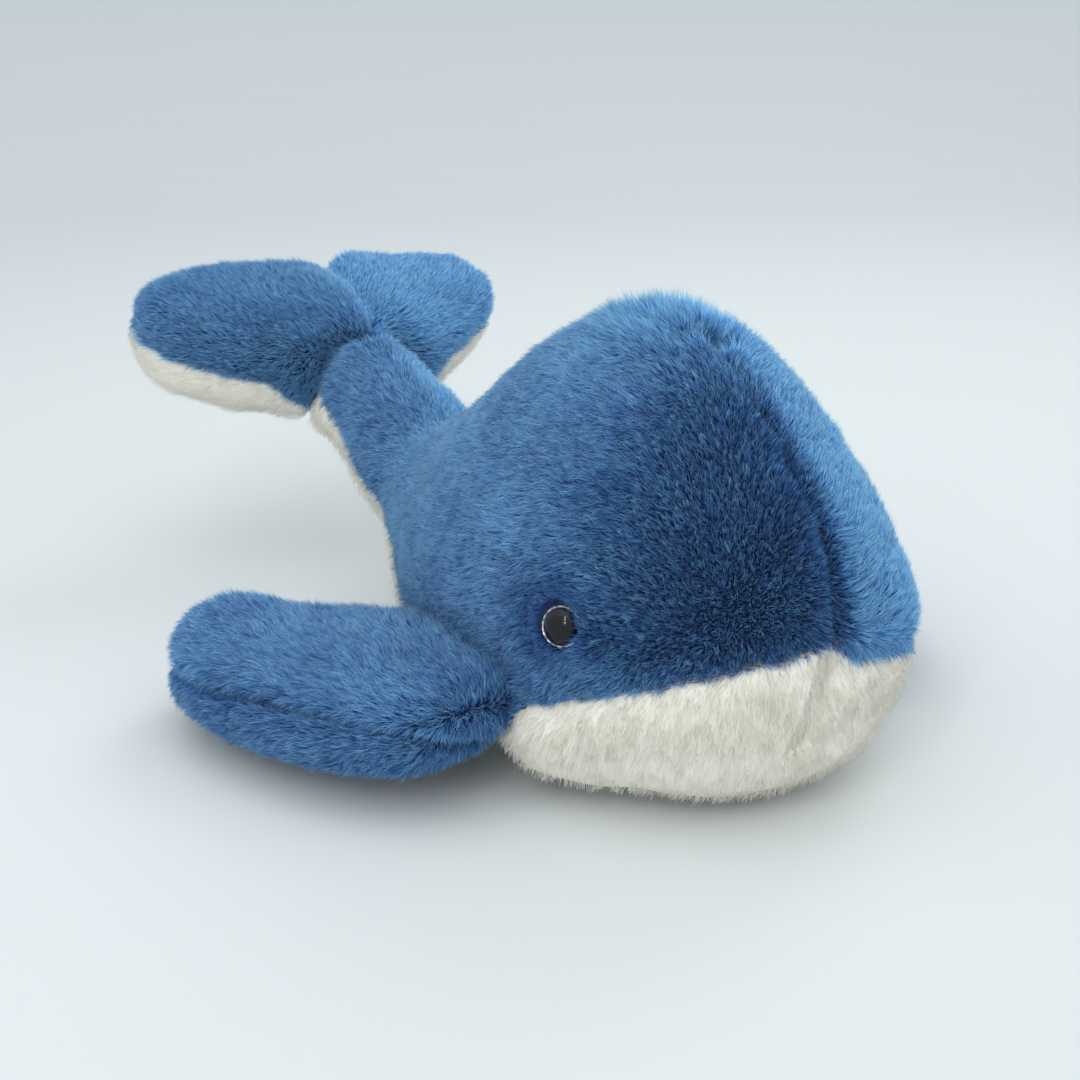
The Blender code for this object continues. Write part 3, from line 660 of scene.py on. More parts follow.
def whaleComb(points, normals, fields):
    # which way the pile is brushed: back from the nose, out from the back seam, down at the mouth
    brush = whaleBrush
    side = np.sign(points[:, 0] - middle)[:, None]
    rise = np.clip((points[:, 1:2] - brush["stockRun"][0]) / brush["stockRun"][1], 0, 1)
    back = np.array([0.0, 1.0, 0.0]) * (1 - rise) + np.array(tailWay) * rise
    outward = side * np.array([1.0, 0.0, 0.0]) + np.array([0.0, 0.0, brush["outwardFall"]])
    down = np.array([0.0, 0.0, -1.0])
    parting = np.exp(-fields["dorsal"] / brush["partingReach"])[:, None]
    lip = np.exp(-np.abs(fields["cream"]) / brush["mouthReach"])[:, None]
    face = 1 - rampUp(points[:, 1:2] - nose, *brush["face"])
    blueWay = tangent(back, normals) * (brush["back"][0] - brush["back"][1] * face)
    blueWay = blueWay + tangent(outward, normals) * (brush["outward"][0] + brush["outward"][1] * parting)
    fall, faceFall, lipFall = brush["down"]
    blueWay += tangent(down, normals) * (fall - faceFall * face + lipFall * lip)
    hole = np.array([middle, nose, 0]) + whaleSkin["blowhole"]
    parted = hill(fields["blowhole"], brush["holeReach"])[:, None]
    blueWay += tangent(unit(points - hole), normals) * parted * brush["holePull"]
    for eye in eyes.values():
        off, flat, far = aroundEye(points, eye)
        close = hill(np.linalg.norm(off, axis=1), brush["eyeReach"])
        swirl = np.cross(eye["way"] * -np.sign(eye["way"][0]), flat / far[:, None])
        above = np.clip((flat[:, 1] + flat[:, 2]) / far * 0.7 + 0.3, 0, 1) * close
        blueWay += tangent(swirl, normals) * (above * brush["eyePull"])[:, None]
    beside = np.sign(points[:, :1] - middle - whaleSkin["dartAcross"])
    beside = beside * np.exp(-fields["dart"] / brush["dartReach"])[:, None]
    creamWay = tangent(down, normals) + tangent(back, normals) * brush["creamBack"]
    creamWay += tangent(np.array([1.0, 0.0, 0.0]), normals) * beside * brush["creamBeside"]
    lobes = rampUp(fields["lobe"], *brush["lobeRun"])[:, None]
    radial = unit(tangent(points - np.array(flukeHinge), normals))
    way = np.where(fields["cream"][:, None] > 0, creamWay, blueWay)
    return unit(unit(way) * (1 - lobes) + radial * lobes + normals * 1e-4)


def coverWashers(points):
    # the cloth is never drawn in behind an eye's washer
    for side, eye in eyes.items():
        washer = readMesh(nodes["eye_washer_" + side].data)[0]
        way = eye["axis"]
        core = (washer.min(0) + washer.max(0)) / 2
        top = ((washer - core) @ way).max() + whaleSkin["washerCover"]
        reach = np.linalg.norm(np.cross(washer - core, way), axis=1).max()
        off = points - core
        high = off @ way
        flat = np.linalg.norm(off - high[:, None] * way, axis=1)
        short = np.clip(top - high, 0, None) * (np.abs(high) < whaleSkin["washerReach"])
        short = short * (1 - rampUp(flat, reach, reach + whaleSkin["washerFade"]))
        points = points + short[:, None] * way
    return points


def meltWhale():
    # one smooth surface over the solids, with the waist and the lobes' tips melted round
    shape = whaleSkin
    names = bodyPanels + ["body_fill"] + tailPanels + ["tail_fill"] + flukePanels + ["fluke_fill"]
    names += ["eye_right", "eye_left", "eye_washer_right", "eye_washer_left"]
    points, triangles = melt(names, shape["voxel"])
    points = relax(points, triangles, shape["rounds"])
    waist = hill(points[:, 1:2] - nose - shape["waist"], shape["waistWidth"])
    points += (relax(points, triangles, shape["waistRounds"], (0.5,)) - points) * waist
    tips = rampUp(np.abs(points[:, :1] - middle), *shape["tipRun"]) * (points[:, 1:2] > flukeHinge.y)
    points += (relax(points, triangles, shape["tipRounds"], (0.5,)) - points) * tips
    return points, triangles


def skinDepth(points, normals, fields):
    # how far the skin lies under the solids' own surface, which is the tips of the pile
    shape = whaleSkin
    depth = np.where(fields["cream"] > 0, shape["creamPile"], shape["bluePile"])
    atTail = rampUp(points[:, 1], tailHinge.y - shape["tailPileRun"], tailHinge.y + shape["tailPileRun"])
    depth = depth + (shape["tailPile"] - depth) * atTail * (fields["cream"] < 0)
    depth -= shape["crestRise"] * fields["crest"]
    mean, change, size, seed = shape["dorsalDepths"]
    for groove in ("seam", "dorsal", "dart", "root", "blowhole"):
        dip = shape[groove + "Dip"] * hill(fields[groove], shape[groove + "Width"])
        depth += dip * (mean + change * ripple(points, size, seed) if groove == "dorsal" else 1.0)
    across = points[:, 0] - middle
    top = rampUp(normals[:, 2], *shape["lobeTop"]) * (fields["lobe"] > 0)
    top = top * rampUp(fields["lobe"], 0, shape["lobeStart"])
    for form, sign in (("valley", 1), ("ridge", -1)):
        depth += sign * shape[form] * hill(across - shape[form + "Across"], shape[form + "Width"]) * top
    depth += shape["leftLobeFall"] * rampUp(across, *shape["leftLobeRun"]) * top
    edge = rampUp(np.abs(normals[:, 0]), *shape["lobeEdge"]) * (fields["lobe"] > 0)
    for growth, reach in zip(shape["lobeGrowth"], (-across, across)):
        depth -= growth * rampUp(reach, *shape["lobeGrowthRun"]) * edge
    for *spot, width, rise in shape["swells"]:
        far = np.linalg.norm(points - np.array(spot) - (middle, nose, 0), axis=1)
        depth -= rise * hill(far, width)
    depth += shape["dartStep"] * fields["step"]
    for form, side, sign in (("eyeHollow", "right", 1), ("eyeBrow", "right", -1), ("eyeHollow", "left", 1)):
        spot = eyes[side]["place"] + np.array((0.0, *shape[form + "Away"]))
        far = np.linalg.norm(points - spot, axis=1)
        depth += sign * shape[form] * hill(far, shape[form + "Width"])
    return depth


def layWhaleSkin():
    points, triangles = meltWhale()
    normals = normalsOf(points, triangles)
    fields = whaleFields(points)
    drawn = points - normals * skinDepth(points, normals, fields)[:, None]
    inner = coverWashers(relax(drawn, triangles, whaleSkin["lastRounds"]))
    normals = normalsOf(inner, triangles)
    fields["comb"] = whaleComb(inner, normals, fields)
    return {"place": inner, "normal": normals, **fields}, triangles


def skinPiece(name, surface, triangles, cut=None):
    # a closed skin, cut off square and capped where the next one goes on
    mesh = bpy.data.meshes.new(name)
    mesh.from_pydata(surface["place"].tolist(), [], triangles.tolist())
    share = mesh.attributes.new("creamShare", "FLOAT", "POINT")
    creamShare = np.clip(surface["cream"] / whaleSkin["creamFade"] + 0.5, 0, 1)
    share.data.foreach_set("value", creamShare.astype(np.float32))
    if cut:
        bm = bmesh.new()
        bm.from_mesh(mesh)
        everything = bm.verts[:] + bm.edges[:] + bm.faces[:]
        made = bmesh.ops.bisect_plane(bm, geom=everything, plane_co=cut[0], plane_no=cut[1],
                                      clear_outer=True)
        rim = [item for item in made["geom_cut"] if isinstance(item, bmesh.types.BMEdge)]
        bmesh.ops.holes_fill(bm, edges=rim, sides=0)
        bm.to_mesh(mesh)
        bm.free()
    return addObject(name, mesh, skinCloth)


# Pile

blueFur = {
    "density": 4.8e6,  # fibres on a square metre
    "length": 0.0058,
    "width": 0.00019,
    "rootLean": 24,
    "tipLean": 60,
    "tuft": 8,  # fibres that lean together
    "tuftPull": 0.38,
    "patchy": 1.0,  # how much the tufts differ in tone
    "jitter": 28,
    "swirl": 20,
    "short": 0.40,  # share of the fibres that are undercoat
}
creamFur = {**blueFur, "density": 1.3e6, "length": 0.0060, "width": 0.00017, "rootLean": 64, "tipLean": 85,
            "tuft": 16, "tuftPull": 0.14, "patchy": 0.35, "jitter": 9, "swirl": 7, "short": 0.25}
tailFur = {**blueFur, "patchy": 0.55, "jitter": 20}

# what all fibres share, with the sizes of the waves that they vary in
fibre = {
    "swirlSize": 0.026,
    "fineSwirl": 0.7,
    "fineSwirlSize": 0.009,
    "sway": (6, 11),  # in waves, and from fibre to fibre
    "swaySize": 0.012,
    "leanLimits": (4, 86),
    "lengthSpread": 0.10,
    "lengthLimits": (0.7, 1.3),
    "lengthWave": 0.07,
    "lengthWaveSize": 0.016,
    "undercoat": (0.55, 0.25),  # the least of a fibre's length, and up to how much more
    "pull": (0.6, 0.8),
    "bendPull": 0.35,
    "toneWave": 0.10,
    "toneWaveSize": 0.030,
    "toneSpread": (0.16, 0.17),  # from fibre to fibre, and from tuft to tuft
    "toneLimits": (0.02, 0.98),
    "lowest": (0.0008, 0.0005, 0.0003),  # how near the floor a bend, a tip and any corner may come
    "sunk": 0.0006,
    "thickness": (0.8, 0.4),
    "bendWidth": 0.85,
    "bendAlong": 0.55,
    "bakeMargin": 0.004,
}


def keep(roots, mask):
    return {key: values[mask] for key, values in roots.items()}


def scatter(surface, triangles, density, seed):
    # even random places on the surface, each with the surface's fields
    rng = np.random.default_rng(seed)
    place = surface["place"]
    a, b, c = (place[triangles[:, corner]] for corner in range(3))
    running = np.cumsum(np.linalg.norm(np.cross(b - a, c - a), axis=1) / 2)
    count = int(running[-1] * density)
    picks = np.searchsorted(running, (np.arange(count) + rng.random(count)) / count * running[-1])
    picks = np.minimum(picks, len(triangles) - 1)
    spots = rng.random((count, 2))
    spots = np.where(spots.sum(1, keepdims=True) > 1, 1 - spots, spots)
    weights = np.column_stack([1 - spots.sum(1), spots])
    chosen = triangles[picks]
    found = {}
    for key, values in surface.items():
        corners = values[chosen]
        if values.ndim == 2:
            found[key] = (corners * weights[:, :, None]).sum(1)
        else:
            found[key] = (corners * weights).sum(1)
    found["normal"] = unit(found["normal"])
    found["comb"] = unit(tangent(found["comb"], found["normal"]))
    under = (found["normal"][:, 2] < -0.3) & (found["place"][:, 2] < 0.03)  # little of it is ever seen
    return keep(found, ~under | (rng.random(count) < 0.5))


def bendFibres(roots, look, seed, rng):
    # where each fibre bends and ends, and how light it is
    place, normal, comb = roots["place"], roots["normal"], roots["comb"]
    count = len(place)
    turn = np.radians(look["swirl"]) * ripple(place, fibre["swirlSize"], seed + 1)
    turn += np.radians(look["swirl"]) * fibre["fineSwirl"] * ripple(place, fibre["fineSwirlSize"], seed + 2)
    turn += np.radians(look["jitter"]) * roots["stray"] * rng.normal(size=count)
    across = np.cross(normal, comb)
    comb = comb * np.cos(turn)[:, None] + across * np.sin(turn)[:, None]
    waveSway, ownSway = fibre["sway"]
    sway = waveSway * ripple(place, fibre["swaySize"], seed + 3) + ownSway * rng.normal(size=count)
    steps = []
    for key in ("rootLean", "tipLean"):
        angle = np.radians(np.clip(look[key] * roots["lean"] + sway, *fibre["leanLimits"]))[:, None]
        steps.append(normal * np.cos(angle) + comb * np.sin(angle))
    spread = np.clip(1 + fibre["lengthSpread"] * rng.normal(size=count), *fibre["lengthLimits"])
    length = look["length"] * roots["share"] * spread
    length *= 1 + fibre["lengthWave"] * ripple(place, fibre["lengthWaveSize"], seed + 5)
    least, more = fibre["undercoat"]
    length *= np.where(rng.random(count) < look["short"], least + more * rng.random(count), 1)
    half = length[:, None] / 2
    bend = place + steps[0] * half
    tip = bend + steps[1] * half
    leaders = rng.choice(count, count // look["tuft"], replace=False)
    tree = kdtree.KDTree(len(leaders))
    for index, point in enumerate(place[leaders].tolist()):
        tree.insert(point, index)
    tree.balance()
    lead = leaders[np.array([tree.find(point)[1] for point in place.tolist()])]
    pull = look["tuftPull"] * (fibre["pull"][0] + fibre["pull"][1] * rng.random(count))[:, None]
    bend += (bend[lead] - bend) * pull * fibre["bendPull"]
    tip += (tip[lead] - tip) * pull
    own, tuft = fibre["toneSpread"]
    tone = roots["tone"] + fibre["toneWave"] * ripple(place, fibre["toneWaveSize"], seed + 4)
    tone += (own * rng.normal(size=count) + tuft * rng.normal(size=count)[lead]) * look["patchy"]
    bend[:, 2] = np.maximum(bend[:, 2], fibre["lowest"][0])
    tip[:, 2] = np.maximum(tip[:, 2], fibre["lowest"][1])
    return bend, tip, tone


def growFur(name, roots, look, finish, seed):
    # roots: place, normal, comb, length share, lean, stray and tone of each fibre. A fibre is a
    # three-sided spike with a ring of corners at its root, a ring at its bend, and its tip
    rng = np.random.default_rng(seed)
    place, normal = roots["place"], roots["normal"]
    count = len(place)
    bend, tip, tone = bendFibres(roots, look, seed, rng)
    way = unit(tip - place)
    first = unit(np.cross(way, normal + 1e-3))
    second = np.cross(way, first)
    phase = rng.random(count) * math.tau
    radius = look["width"] / 2 * (fibre["thickness"][0] + fibre["thickness"][1] * rng.random(count))
    points = np.empty((count, 7, 3), np.float32)
    for corner in range(3):
        angle = phase + corner * math.tau / 3
        out = first * (np.cos(angle) * radius)[:, None] + second * (np.sin(angle) * radius)[:, None]
        points[:, corner] = place - normal * fibre["sunk"] + out
        points[:, corner + 3] = bend + out * fibre["bendWidth"]
    points[:, 6] = tip
    points[:, :, 2] = np.maximum(points[:, :, 2], fibre["lowest"][2])

    loops = np.array([0, 1, 4, 3, 1, 2, 5, 4, 2, 0, 3, 5, 3, 4, 6, 4, 5, 6, 5, 3, 6])
    starts = np.array([0, 4, 8, 12, 15, 18])
    mesh = bpy.data.meshes.new(name)
    mesh.vertices.add(count * 7)
    mesh.loops.add(count * len(loops))
    mesh.polygons.add(count * len(starts))
    mesh.vertices.foreach_set("co", points.ravel())
    corners = (np.arange(count)[:, None] * 7 + loops).ravel()
    mesh.loops.foreach_set("vertex_index", corners.astype(np.int32))
    firsts = (np.arange(count)[:, None] * len(loops) + starts).ravel()
    mesh.polygons.foreach_set("loop_start", firsts.astype(np.int32))
    tones = np.zeros((count, 7, 3), np.float32)
    tones[:, :, 0] = np.clip(tone, *fibre["toneLimits"])[:, None]
    tones[:, 3:6, 1] = fibre["bendAlong"]
    tones[:, 6, 1] = 1.0
    mesh.attributes.new("furTone", "FLOAT_VECTOR", "POINT").data.foreach_set("vector", tones.ravel())
    bake = np.clip(tones.reshape(-1, 3)[corners, :2], fibre["bakeMargin"], 1 - fibre["bakeMargin"])
    mesh.uv_layers.new(name="OFBake").uv.foreach_set("vector", bake.ravel())
    mesh.update(calc_edges=True)
    print(name, count, "fibres")
    return addObject(name, mesh, finish)


# The whale's skin and the pile on it

whale, whaleTriangles = layWhaleSkin()
print("whale skin laid,", len(whaleTriangles), "triangles")
frontSkin = skinPiece("body_skin", whale, whaleTriangles, (tailCut, tailWay))
rearSkin = skinPiece("tail_skin", whale, whaleTriangles, (tailCut, -tailWay))
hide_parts(*bodyPanels, "body_fill", *tailPanels, "tail_fill")
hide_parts(*flukePanels, "fluke_fill")

# the pile's tone takes painted shade at the seams, the partings, the face, the blowhole and the flippers'
# seats, and painted light on the crest, the crown, left of the back seam and under the flukes
whalePile = {
    "seamWidth": 0.004,
    "seamShort": 0.12,
    "seamShade": 0.06,
    "partingShare": 0.6,  # of the flukes' crease, which parts the pile most
    "dorsalWidth": 0.0020,
    "rootWidth": 0.0030,
    "partingShort": 0.25,
    "partingShade": 0.30,
    "face": (0.027, 0.082),  # the pile on the face is short and upright, with painted shade
    "faceOver": (0.036, 0.060),
    "faceShort": 0.20,
    "faceUpright": 0.70,
    "faceShade": 0.40,
    "faceStray": 1.1,
    "lee": (0.0005, 0.008),  # left of the middle line it lies smoother, with painted light
    "leeOver": 0.045,
    "leeLean": 0.12,
    "leePaintedLight": 0.38,
    "leeCalm": 0.5,
    "crestLong": 0.75,
    "crestUpright": 0.75,
    # painted light on the pile of the crest
    "crestPaintedLight": 0.14,
    "holeClear": 0.0026,
    "holeShort": 0.50,
    # painted shade on the pile around the blowhole
    "holeShade": 0.90,
    "seatWidth": 0.012,  # where the flippers are sewn on, with painted shade
    "seatShort": 0.20,
    "seatShade": 0.48,
    "crownRun": (0.105, 0.130),
    # painted light on the pile high up the crown
    "crownPaintedLight": 0.12,
    "creamTone": (0.45, 0.5),  # and painted light under the flukes
    "blueOver": 0.0004,  # the blue pile starts a little over the seam
}

eyeFur = {
    "clear": 0.0065,
    "drawn": (0.0022, 0.0004),  # and bare a little further back and up
    "reach": 0.03,
    "short": 0.0145,
    "shortest": 0.35,
    "behind": 0.010,
    # painted shade on the short pile behind the eye
    "behindShade": 0.75,
    "pit": (0.0080, 0.0016),  # the middle of the hollow behind the eye, where the pile gets painted shade
    "pitWidth": 0.0100,
    "pitShade": 0.80,
    "overWidth": 0.004,  # before and over the eye the pile lies flat along it
    "overLong": 0.08,
    "overLean": 0.60,
}


def shapeRoots(roots):
    # shorter pile, with painted shade, at the seams, on the face and in the flippers' seats; painted light
    # on the crest, the crown, left of the back seam and on the cream under the flukes
    look = whalePile
    behind, z = roots["place"][:, 1] - nose, roots["place"][:, 2]
    near = hill(roots["seam"], look["seamWidth"])
    face = (1 - rampUp(behind, *look["face"])) * rampUp(z, *look["faceOver"]) * (roots["cream"] < 0)
    parting = look["partingShare"] * hill(roots["dorsal"], look["dorsalWidth"])
    parting = parting + hill(roots["root"], look["rootWidth"])
    lee = rampUp(roots["place"][:, 0] - middle, *look["lee"]) * (z > look["leeOver"])
    hole = hill(roots["blowhole"], whaleSkin["blowholeWidth"])
    seat = hill(roots["seat"], look["seatWidth"])
    crest = roots["crest"]
    share = 1 - look["seamShort"] * near - look["partingShort"] * parting
    share = share - look["faceShort"] * face * (1 - lee) + look["crestLong"] * crest
    share -= look["holeShort"] * hole
    share -= look["seatShort"] * seat
    lean = (1 - look["faceUpright"] * face * (1 - lee)) * (1 - look["crestUpright"] * crest)
    # painted shade at the seams, the partings, the face, the blowhole and the seats, and painted light on
    # the crest, left of the back seam and up the crown
    tone = 0.50 - look["seamShade"] * near - look["partingShade"] * parting
    tone = tone + look["crestPaintedLight"] * crest + look["leePaintedLight"] * lee * (1 - parting)
    tone += look["crownPaintedLight"] * rampUp(z, *look["crownRun"])
    tone -= look["faceShade"] * face * (1 - lee) + look["holeShade"] * hole + look["seatShade"] * seat
    # painted light on the cream pile under the flukes
    creamTone, lobePaintedLight = look["creamTone"]
    roots["share"] = share
    roots["lean"] = lean * (1 + look["leeLean"] * lee)
    roots["tone"] = np.where(roots["cream"] > 0, creamTone + lobePaintedLight * (roots["lobe"] > 0), tone)
    roots["stray"] = 1 + look["faceStray"] * face * (1 - lee) - look["leeCalm"] * lee
    kept = roots["blowhole"] > look["holeClear"]
    for eye in eyes.values():
        kept &= clearEye(roots, eye)
    return keep(roots, kept)


def clearEye(roots, eye):
    # no pile over the eye, short pile with painted shade behind it, and pile that lies flat before and over
    # it
    look = eyeFur
    off, flat, far = aroundEye(roots["place"], eye)
    close = np.linalg.norm(off, axis=1) < look["reach"]
    behind = np.clip(0.45 + flat[:, 1] / look["behind"], 0, 1)
    over = hill(far - look["clear"], look["overWidth"]) * close * (1 - behind)
    cut = (1 - np.clip((far - look["clear"]) / (look["short"] - look["clear"]), 0, 1)) * close
    pit = np.linalg.norm(off - np.array((0.0, *look["pit"])), axis=1)
    # painted shade behind the eye and in the hollow there
    tone = roots["tone"] - look["behindShade"] * cut * behind
    roots["tone"] = tone - look["pitShade"] * hill(pit, look["pitWidth"])
    roots["share"] = roots["share"] * (1 - (1 - look["shortest"]) * cut * behind)
    roots["share"] = roots["share"] * (1 + look["overLong"] * over)
    roots["lean"] = roots["lean"] * (1 + look["overLean"] * over)
    drawn = np.linalg.norm(flat - np.array((0.0, *look["drawn"])), axis=1)
    return ~(close & (np.minimum(far, drawn) < look["clear"]))


roots = shapeRoots(scatter(whale, whaleTriangles, blueFur["density"], 11))
thinned = np.random.default_rng(12).random(len(roots["cream"])) < creamFur["density"] / blueFur["density"]
roots = keep(roots, thinned | (roots["cream"] < whalePile["blueOver"]))
front, cream = roots["stock"] < 0, roots["cream"] > whalePile["blueOver"]
whaleFurs = {
    "body_fur": growFur("body_fur", keep(roots, front & ~cream), blueFur, bluePlush, 21),
    "belly_fur": growFur("belly_fur", keep(roots, front & cream), creamFur, creamPlush, 31),
    "tail_fur": growFur("tail_fur", keep(roots, ~front & ~cream), tailFur, bluePlush, 41),
    "fluke_belly_fur": growFur("fluke_belly_fur", keep(roots, ~front & cream), creamFur, creamPlush,
                               51),
}

bends = {"tail": 0.022, "flukes": 0.014}  # lengths along the tail to each side of a hinge
tailBend, flukeBend = tailWay * bends["tail"], tailWay * bends["flukes"]
for piece in (frontSkin, whaleFurs["body_fur"], whaleFurs["belly_fur"]):
    tailHinge - tailBend
    tailHinge + tailBend
    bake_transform(piece)
for piece in (rearSkin, whaleFurs["tail_fur"], whaleFurs["fluke_belly_fur"]):
    flukeHinge - flukeBend
    flukeHinge + flukeBend
    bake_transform(piece)
print("pile grown")


# Flippers

# lengths out are from the hinge towards the tip
flipperSkin = {
    "voxel": 0.0020,
    "rounds": 5,
    "pile": 0.0040,
    "seamDip": 0.0040,
    "seamWidth": 0.0024,
    "seamFall": 0.19,  # the solid's seam falls this much towards the tip
    "seamOut": (-0.0040, 0.0035, 0.0105, 0.0175, 0.0250, 0.0320, 0.0420, 0.0480, 0.0540),
    "seamRise": (-0.0055, -0.0022, 0.0005, 0.0046, 0.0070, 0.0098, 0.0120, 0.0104, 0.0080),  # over it
    "seamBack": 0.0030,
    "seamBackRun": (0.045, 0.080),
    "seamWander": 0.0008,
    "seamWaves": (0.014, 8),
    "seamSides": (0.35, 0.45),  # it shows only where the cloth faces this far sideways
    "seamFill": 0.0022,
    "seamFillWidth": 0.005,
    "seamTip": 0.65,  # how much shallower it is at the tip
    "seamTipRun": (0.042, 0.056),
    "swell": (0.029, 0.075, 0.009),  # the tip is stuffed fuller here
    "swellWidth": 0.017,
    "swellRise": 0.0026,
    "tuck": 0.018,  # how far the root reaches into the body
    "tuckRun": (-0.010, 0.012),
    "rootTrim": (0.006, 0.001),  # the root's lower front corner is drawn back and up
    "trimHigh": (-0.012, 0.002),
    "trimOut": (-0.002, 0.012),
    "trimFront": -0.020,
    "partedShare": 0.35,  # how much the pile parts at the seam
    "bend": (-0.004, 0.012),  # two lengths out from the hinge
}

flipperBrush = {
    "tipWay": (0.6, 0.8),  # the tip lies furthest out and back this way
    "spread": 0.12,
    "fall": -0.15,
    "overReach": 0.005,  # the pile hangs over the seam from above, and less below it
    "underReach": 0.002,
    "underShare": 0.5,
}

flipperPile = {
    "from": -0.012,
    "root": (-0.002, 0.012),
    "under": (-0.005, 0.001),
    "seamShort": 0.50,
    "lean": (1.12, 0.20),  # and how much less at the root
    # painted shade on the pile at the seam, at the root and below the seam
    "seamShade": 0.42,
    "rootShade": 0.20,
    "underShade": 0.16,
    "stray": 0.8,
}


def layFlipperSkin(side):
    shape, brush = flipperSkin, flipperBrush
    names = ["flipper_upper_panel_" + side, "flipper_lower_panel_" + side]
    points, triangles = melt(names + ["flipper_fill_" + side], shape["voxel"])
    points = relax(points, triangles, shape["rounds"])
    normals = normalsOf(points, triangles)
    sign = -1 if side == "right" else 1
    hinge = np.array(hinges["flipper_" + side + "_swing"])
    out = (points[:, 0] - hinge[0]) * sign
    rise = np.interp(out, shape["seamOut"], shape["seamRise"])
    rise += (shape["seamBack"] - rise) * rampUp(points[:, 1] - hinge[1], *shape["seamBackRun"])
    above = points[:, 2] - (hinge[2] - out * shape["seamFall"] + rise)
    rim = np.linalg.norm(normals[:, :2], axis=1)
    least, clear = shape["seamSides"]
    seam = np.abs(above + shape["seamWander"] * ripple(points, *shape["seamWaves"]))
    seam = seam / np.maximum(rim, least) + 0.02 * (rim < clear)
    dip = shape["seamDip"] * hill(seam, shape["seamWidth"])
    dip *= 1 - shape["seamTip"] * rampUp(out, *shape["seamTipRun"])
    gaps = distancesTo(names, points)
    dip -= shape["seamFill"] * hill(gaps[:, 0] - gaps[:, 1], shape["seamFillWidth"])
    far = np.linalg.norm(points - hinge - np.array(shape["swell"]) * (sign, 1, 1), axis=1)
    dip -= shape["swellRise"] * hill(far, shape["swellWidth"])
    inner = relax(points - normals * (shape["pile"] + dip)[:, None], triangles, 1)
    inner[:, 0] -= sign * shape["tuck"] * (1 - rampUp(out, *shape["tuckRun"]))
    low, high = shape["trimHigh"]
    trim = (1 - rampUp(inner[:, 2], hinge[2] + low, hinge[2] + high)) * (1 - rampUp(out, *shape["trimOut"]))
    trim = trim * (1 - rampUp(inner[:, 1], hinge[1] + shape["trimFront"], hinge[1]))
    inner[:, 1:] += trim[:, None] * np.array(shape["rootTrim"])
    parted = shape["partedShare"]
    normals = unit(normalsOf(inner, triangles) * parted + normals * (1 - parted))
    outShare, backShare = brush["tipWay"]
    tip = inner[(inner @ np.array([sign * outShare, backShare, 0.0])).argmax()]
    line = unit(tip - hinge)
    away = inner - hinge - ((inner - hinge) @ line)[:, None] * line
    comb = tangent(line + unit(away) * brush["spread"] + np.array([0, 0, brush["fall"]]), normals)
    over = np.where(above > 0, np.exp(-above / brush["overReach"]),
                    np.exp(above / brush["underReach"]) * brush["underShare"])
    comb += tangent(np.array([0, 0, -1.0]), normals) * (over + np.clip(normals @ line, 0, 1))[:, None]
    blue = np.full(len(inner), -1.0)
    fields = {"cream": blue, "seam": seam, "comb": unit(comb), "out": out, "above": above}
    return {"place": inner, "normal": normals, **fields}, triangles


def buildFlipper(side, seed):
    surface, triangles = layFlipperSkin(side)
    name, look = "flipper_" + side, flipperPile
    skin = skinPiece("flipper_skin_" + side, surface, triangles)
    roots = scatter(surface, triangles, blueFur["density"], seed)
    roots = keep(roots, roots["out"] > look["from"])
    near = hill(roots["seam"], flipperSkin["seamWidth"])
    atRoot = 1 - rampUp(roots["out"], *look["root"])
    under = 1 - rampUp(roots["above"], *look["under"])
    roots["share"] = 1 - look["seamShort"] * near
    roots["lean"] = look["lean"][0] - look["lean"][1] * atRoot
    # painted shade at the seam, at the root and below the seam
    tone = 0.50 - look["seamShade"] * near * (1 - 0.5 * atRoot)
    roots["tone"] = tone - look["rootShade"] * atRoot - look["underShade"] * under
    roots["stray"] = np.full(len(near), look["stray"])
    fur = growFur("flipper_fur_" + side, roots, blueFur, bluePlush, seed + 10)
    for piece in (skin, fur):
        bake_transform(piece)
    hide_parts("flipper_upper_panel_" + side, "flipper_lower_panel_" + side, "flipper_fill_" + side)


buildFlipper("right", 61)
buildFlipper("left", 81)
print("flippers made")


# Studio

studio = {
    "floor": (0.707, 0.749, 0.755),
    # the paper turns darker and bluer as it rises, painted shade on the backdrop
    "backdropShaded": (0.640, 0.690, 0.722),
    "blendRise": 7.0,  # how fast the one turns to the other up the paper
    "flat": 0.85,  # floor behind the whale before the paper turns up
    "bend": 0.60,
    "bendSteps": 24,
    "wall": 2.2,
    "halfWidth": 4.0,
    "front": 2.0,
    "skyColour": (0.955, 0.98, 1.0),
    "skyLevel": (0.84, 1.02),  # at the horizon and overhead
    "lamps": {
        "overhead": {"energy": 2.0, "size": (1.1, 1.1), "place": (-0.25, -0.15, 1.25), "spread": 180},
        "window": {"energy": 0.85, "size": (0.8, 0.8), "place": (1.05, 0.45, 0.90), "spread": 70},
        "strip": {"energy": 0.34, "size": (0.035, 0.90), "place": (-0.74, -0.64, 0.70), "spread": 60},
    },
}

view = {
    "place": (-0.31001, -0.52456, 0.25766),
    "tilt": 70,
    "turn": -32,
    "focal": 1850,  # in pixels of the photograph
    "frame": 1080,
    "sensor": 36.0,
}


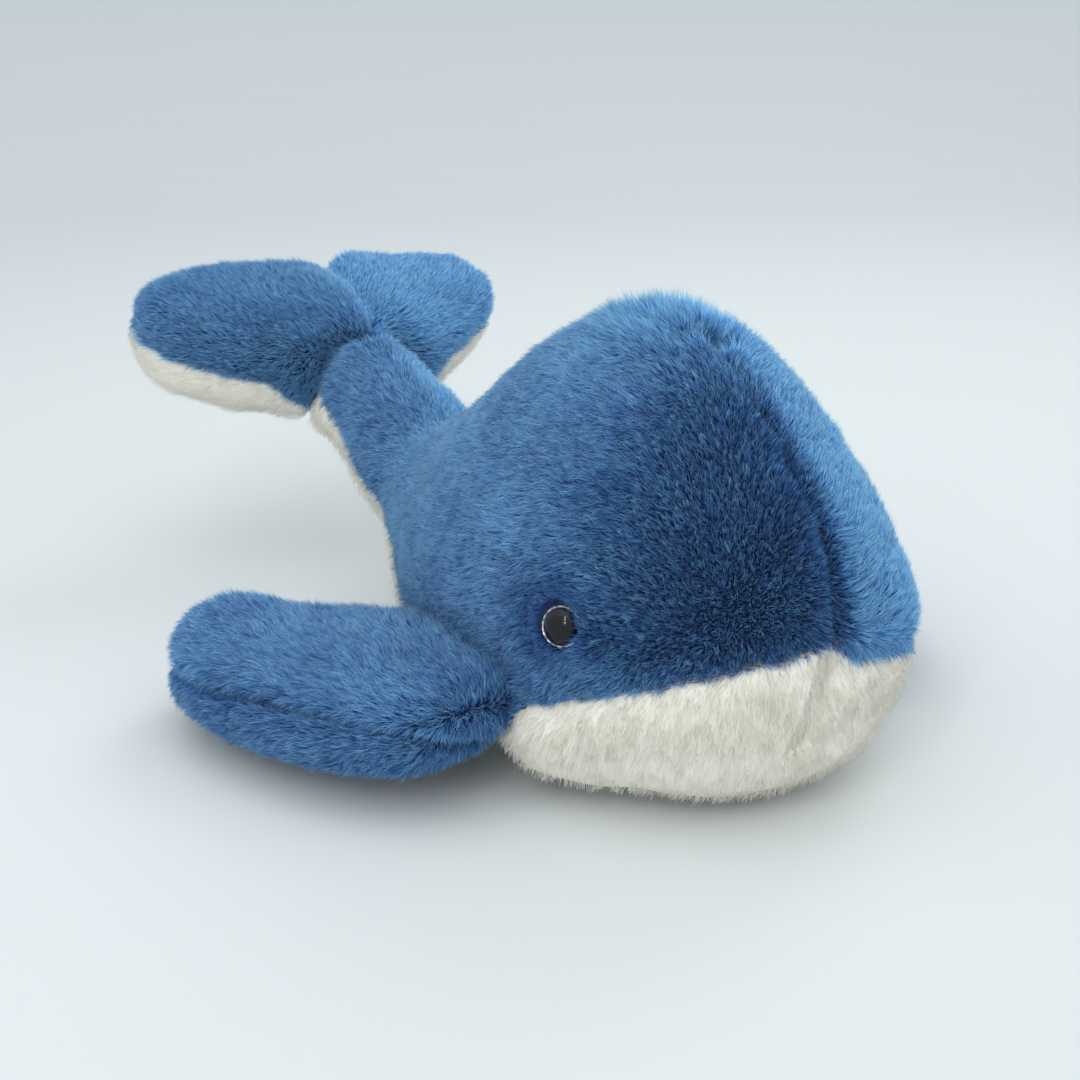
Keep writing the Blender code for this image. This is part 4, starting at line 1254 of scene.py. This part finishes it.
def buildPaper():
    finish = Finish("studioPaper", {"Roughness": 0.95, "Specular IOR Level": 0.1})
    place = finish.add("ShaderNodeTexCoord", {}, {}, 3)
    grain = finish.add("ShaderNodeTexNoise", {}, {"Vector": place, "Scale": 2.0, "Detail": 2.0})
    high = finish.add("ShaderNodeSeparateXYZ", {}, {0: place}, 2)
    rise = finish.add("ShaderNodeClamp", {}, {0: high * studio["blendRise"] + grain * 0.1})
    # painted shade: the paper darkens up the backdrop
    finish.feed({"Base Color": finish.mix(rise, studio["floor"], studio["backdropShaded"])})
    profile = [(-studio["front"], 0.0), (studio["flat"], 0.0)]
    for step in range(1, studio["bendSteps"] + 1):
        angle = math.pi / 2 * step / studio["bendSteps"]
        profile.append((studio["flat"] + studio["bend"] * math.sin(angle),
                        studio["bend"] * (1 - math.cos(angle))))
    profile.append((studio["flat"] + studio["bend"], studio["wall"]))
    points = [(side * studio["halfWidth"], run, height) for run, height in profile for side in (-1, 1)]
    faces = [(row * 2, row * 2 + 1, row * 2 + 3, row * 2 + 2) for row in range(len(profile) - 1)]
    mesh = bpy.data.meshes.new("studio_paper")
    mesh.from_pydata(points, [], faces)
    paper = addObject("studio_paper", mesh, finish)
    paper.rotation_euler = (0.0, 0.0, math.radians(view["turn"]))


def lightStudio():
    world = bpy.data.worlds.new("studioAir")
    bpy.context.scene.world = world
    world.use_nodes = True
    air = Wiring(world.node_tree)
    up = air.add("ShaderNodeSeparateXYZ", {}, {0: air.add("ShaderNodeTexCoord", {}, {}, 0)}, 2)
    low, high = (tuple(value * level for value in studio["skyColour"]) for level in studio["skyLevel"])
    air.give(air.tree.nodes["Background"], {"Color": air.mix(up, low, high)})
    for name, look in studio["lamps"].items():
        lamp = bpy.data.lights.new(name, "AREA")
        lamp.shape = "RECTANGLE"
        lamp.energy = look["energy"]
        lamp.size, lamp.size_y = look["size"]
        lamp.spread = math.radians(look["spread"])
        holder = bpy.data.objects.new(name, lamp)
        holder.location = look["place"]
        holder.rotation_euler = (-Vector(look["place"])).to_track_quat("-Z", "Y").to_euler()
        bpy.context.scene.collection.objects.link(holder)


def buildCamera():
    camera = bpy.data.cameras.new("camera")
    camera.sensor_width = view["sensor"]
    camera.lens = view["focal"] / view["frame"] * view["sensor"]
    holder = bpy.data.objects.new("camera", camera)
    holder.location = view["place"]
    holder.rotation_euler = (math.radians(view["tilt"]), 0.0, math.radians(view["turn"]))
    bpy.context.scene.collection.objects.link(holder)
    bpy.context.scene.camera = holder


buildPaper()
lightStudio()
buildCamera()
bpy.context.scene.view_settings.view_transform = "Standard"
print("studio ready")
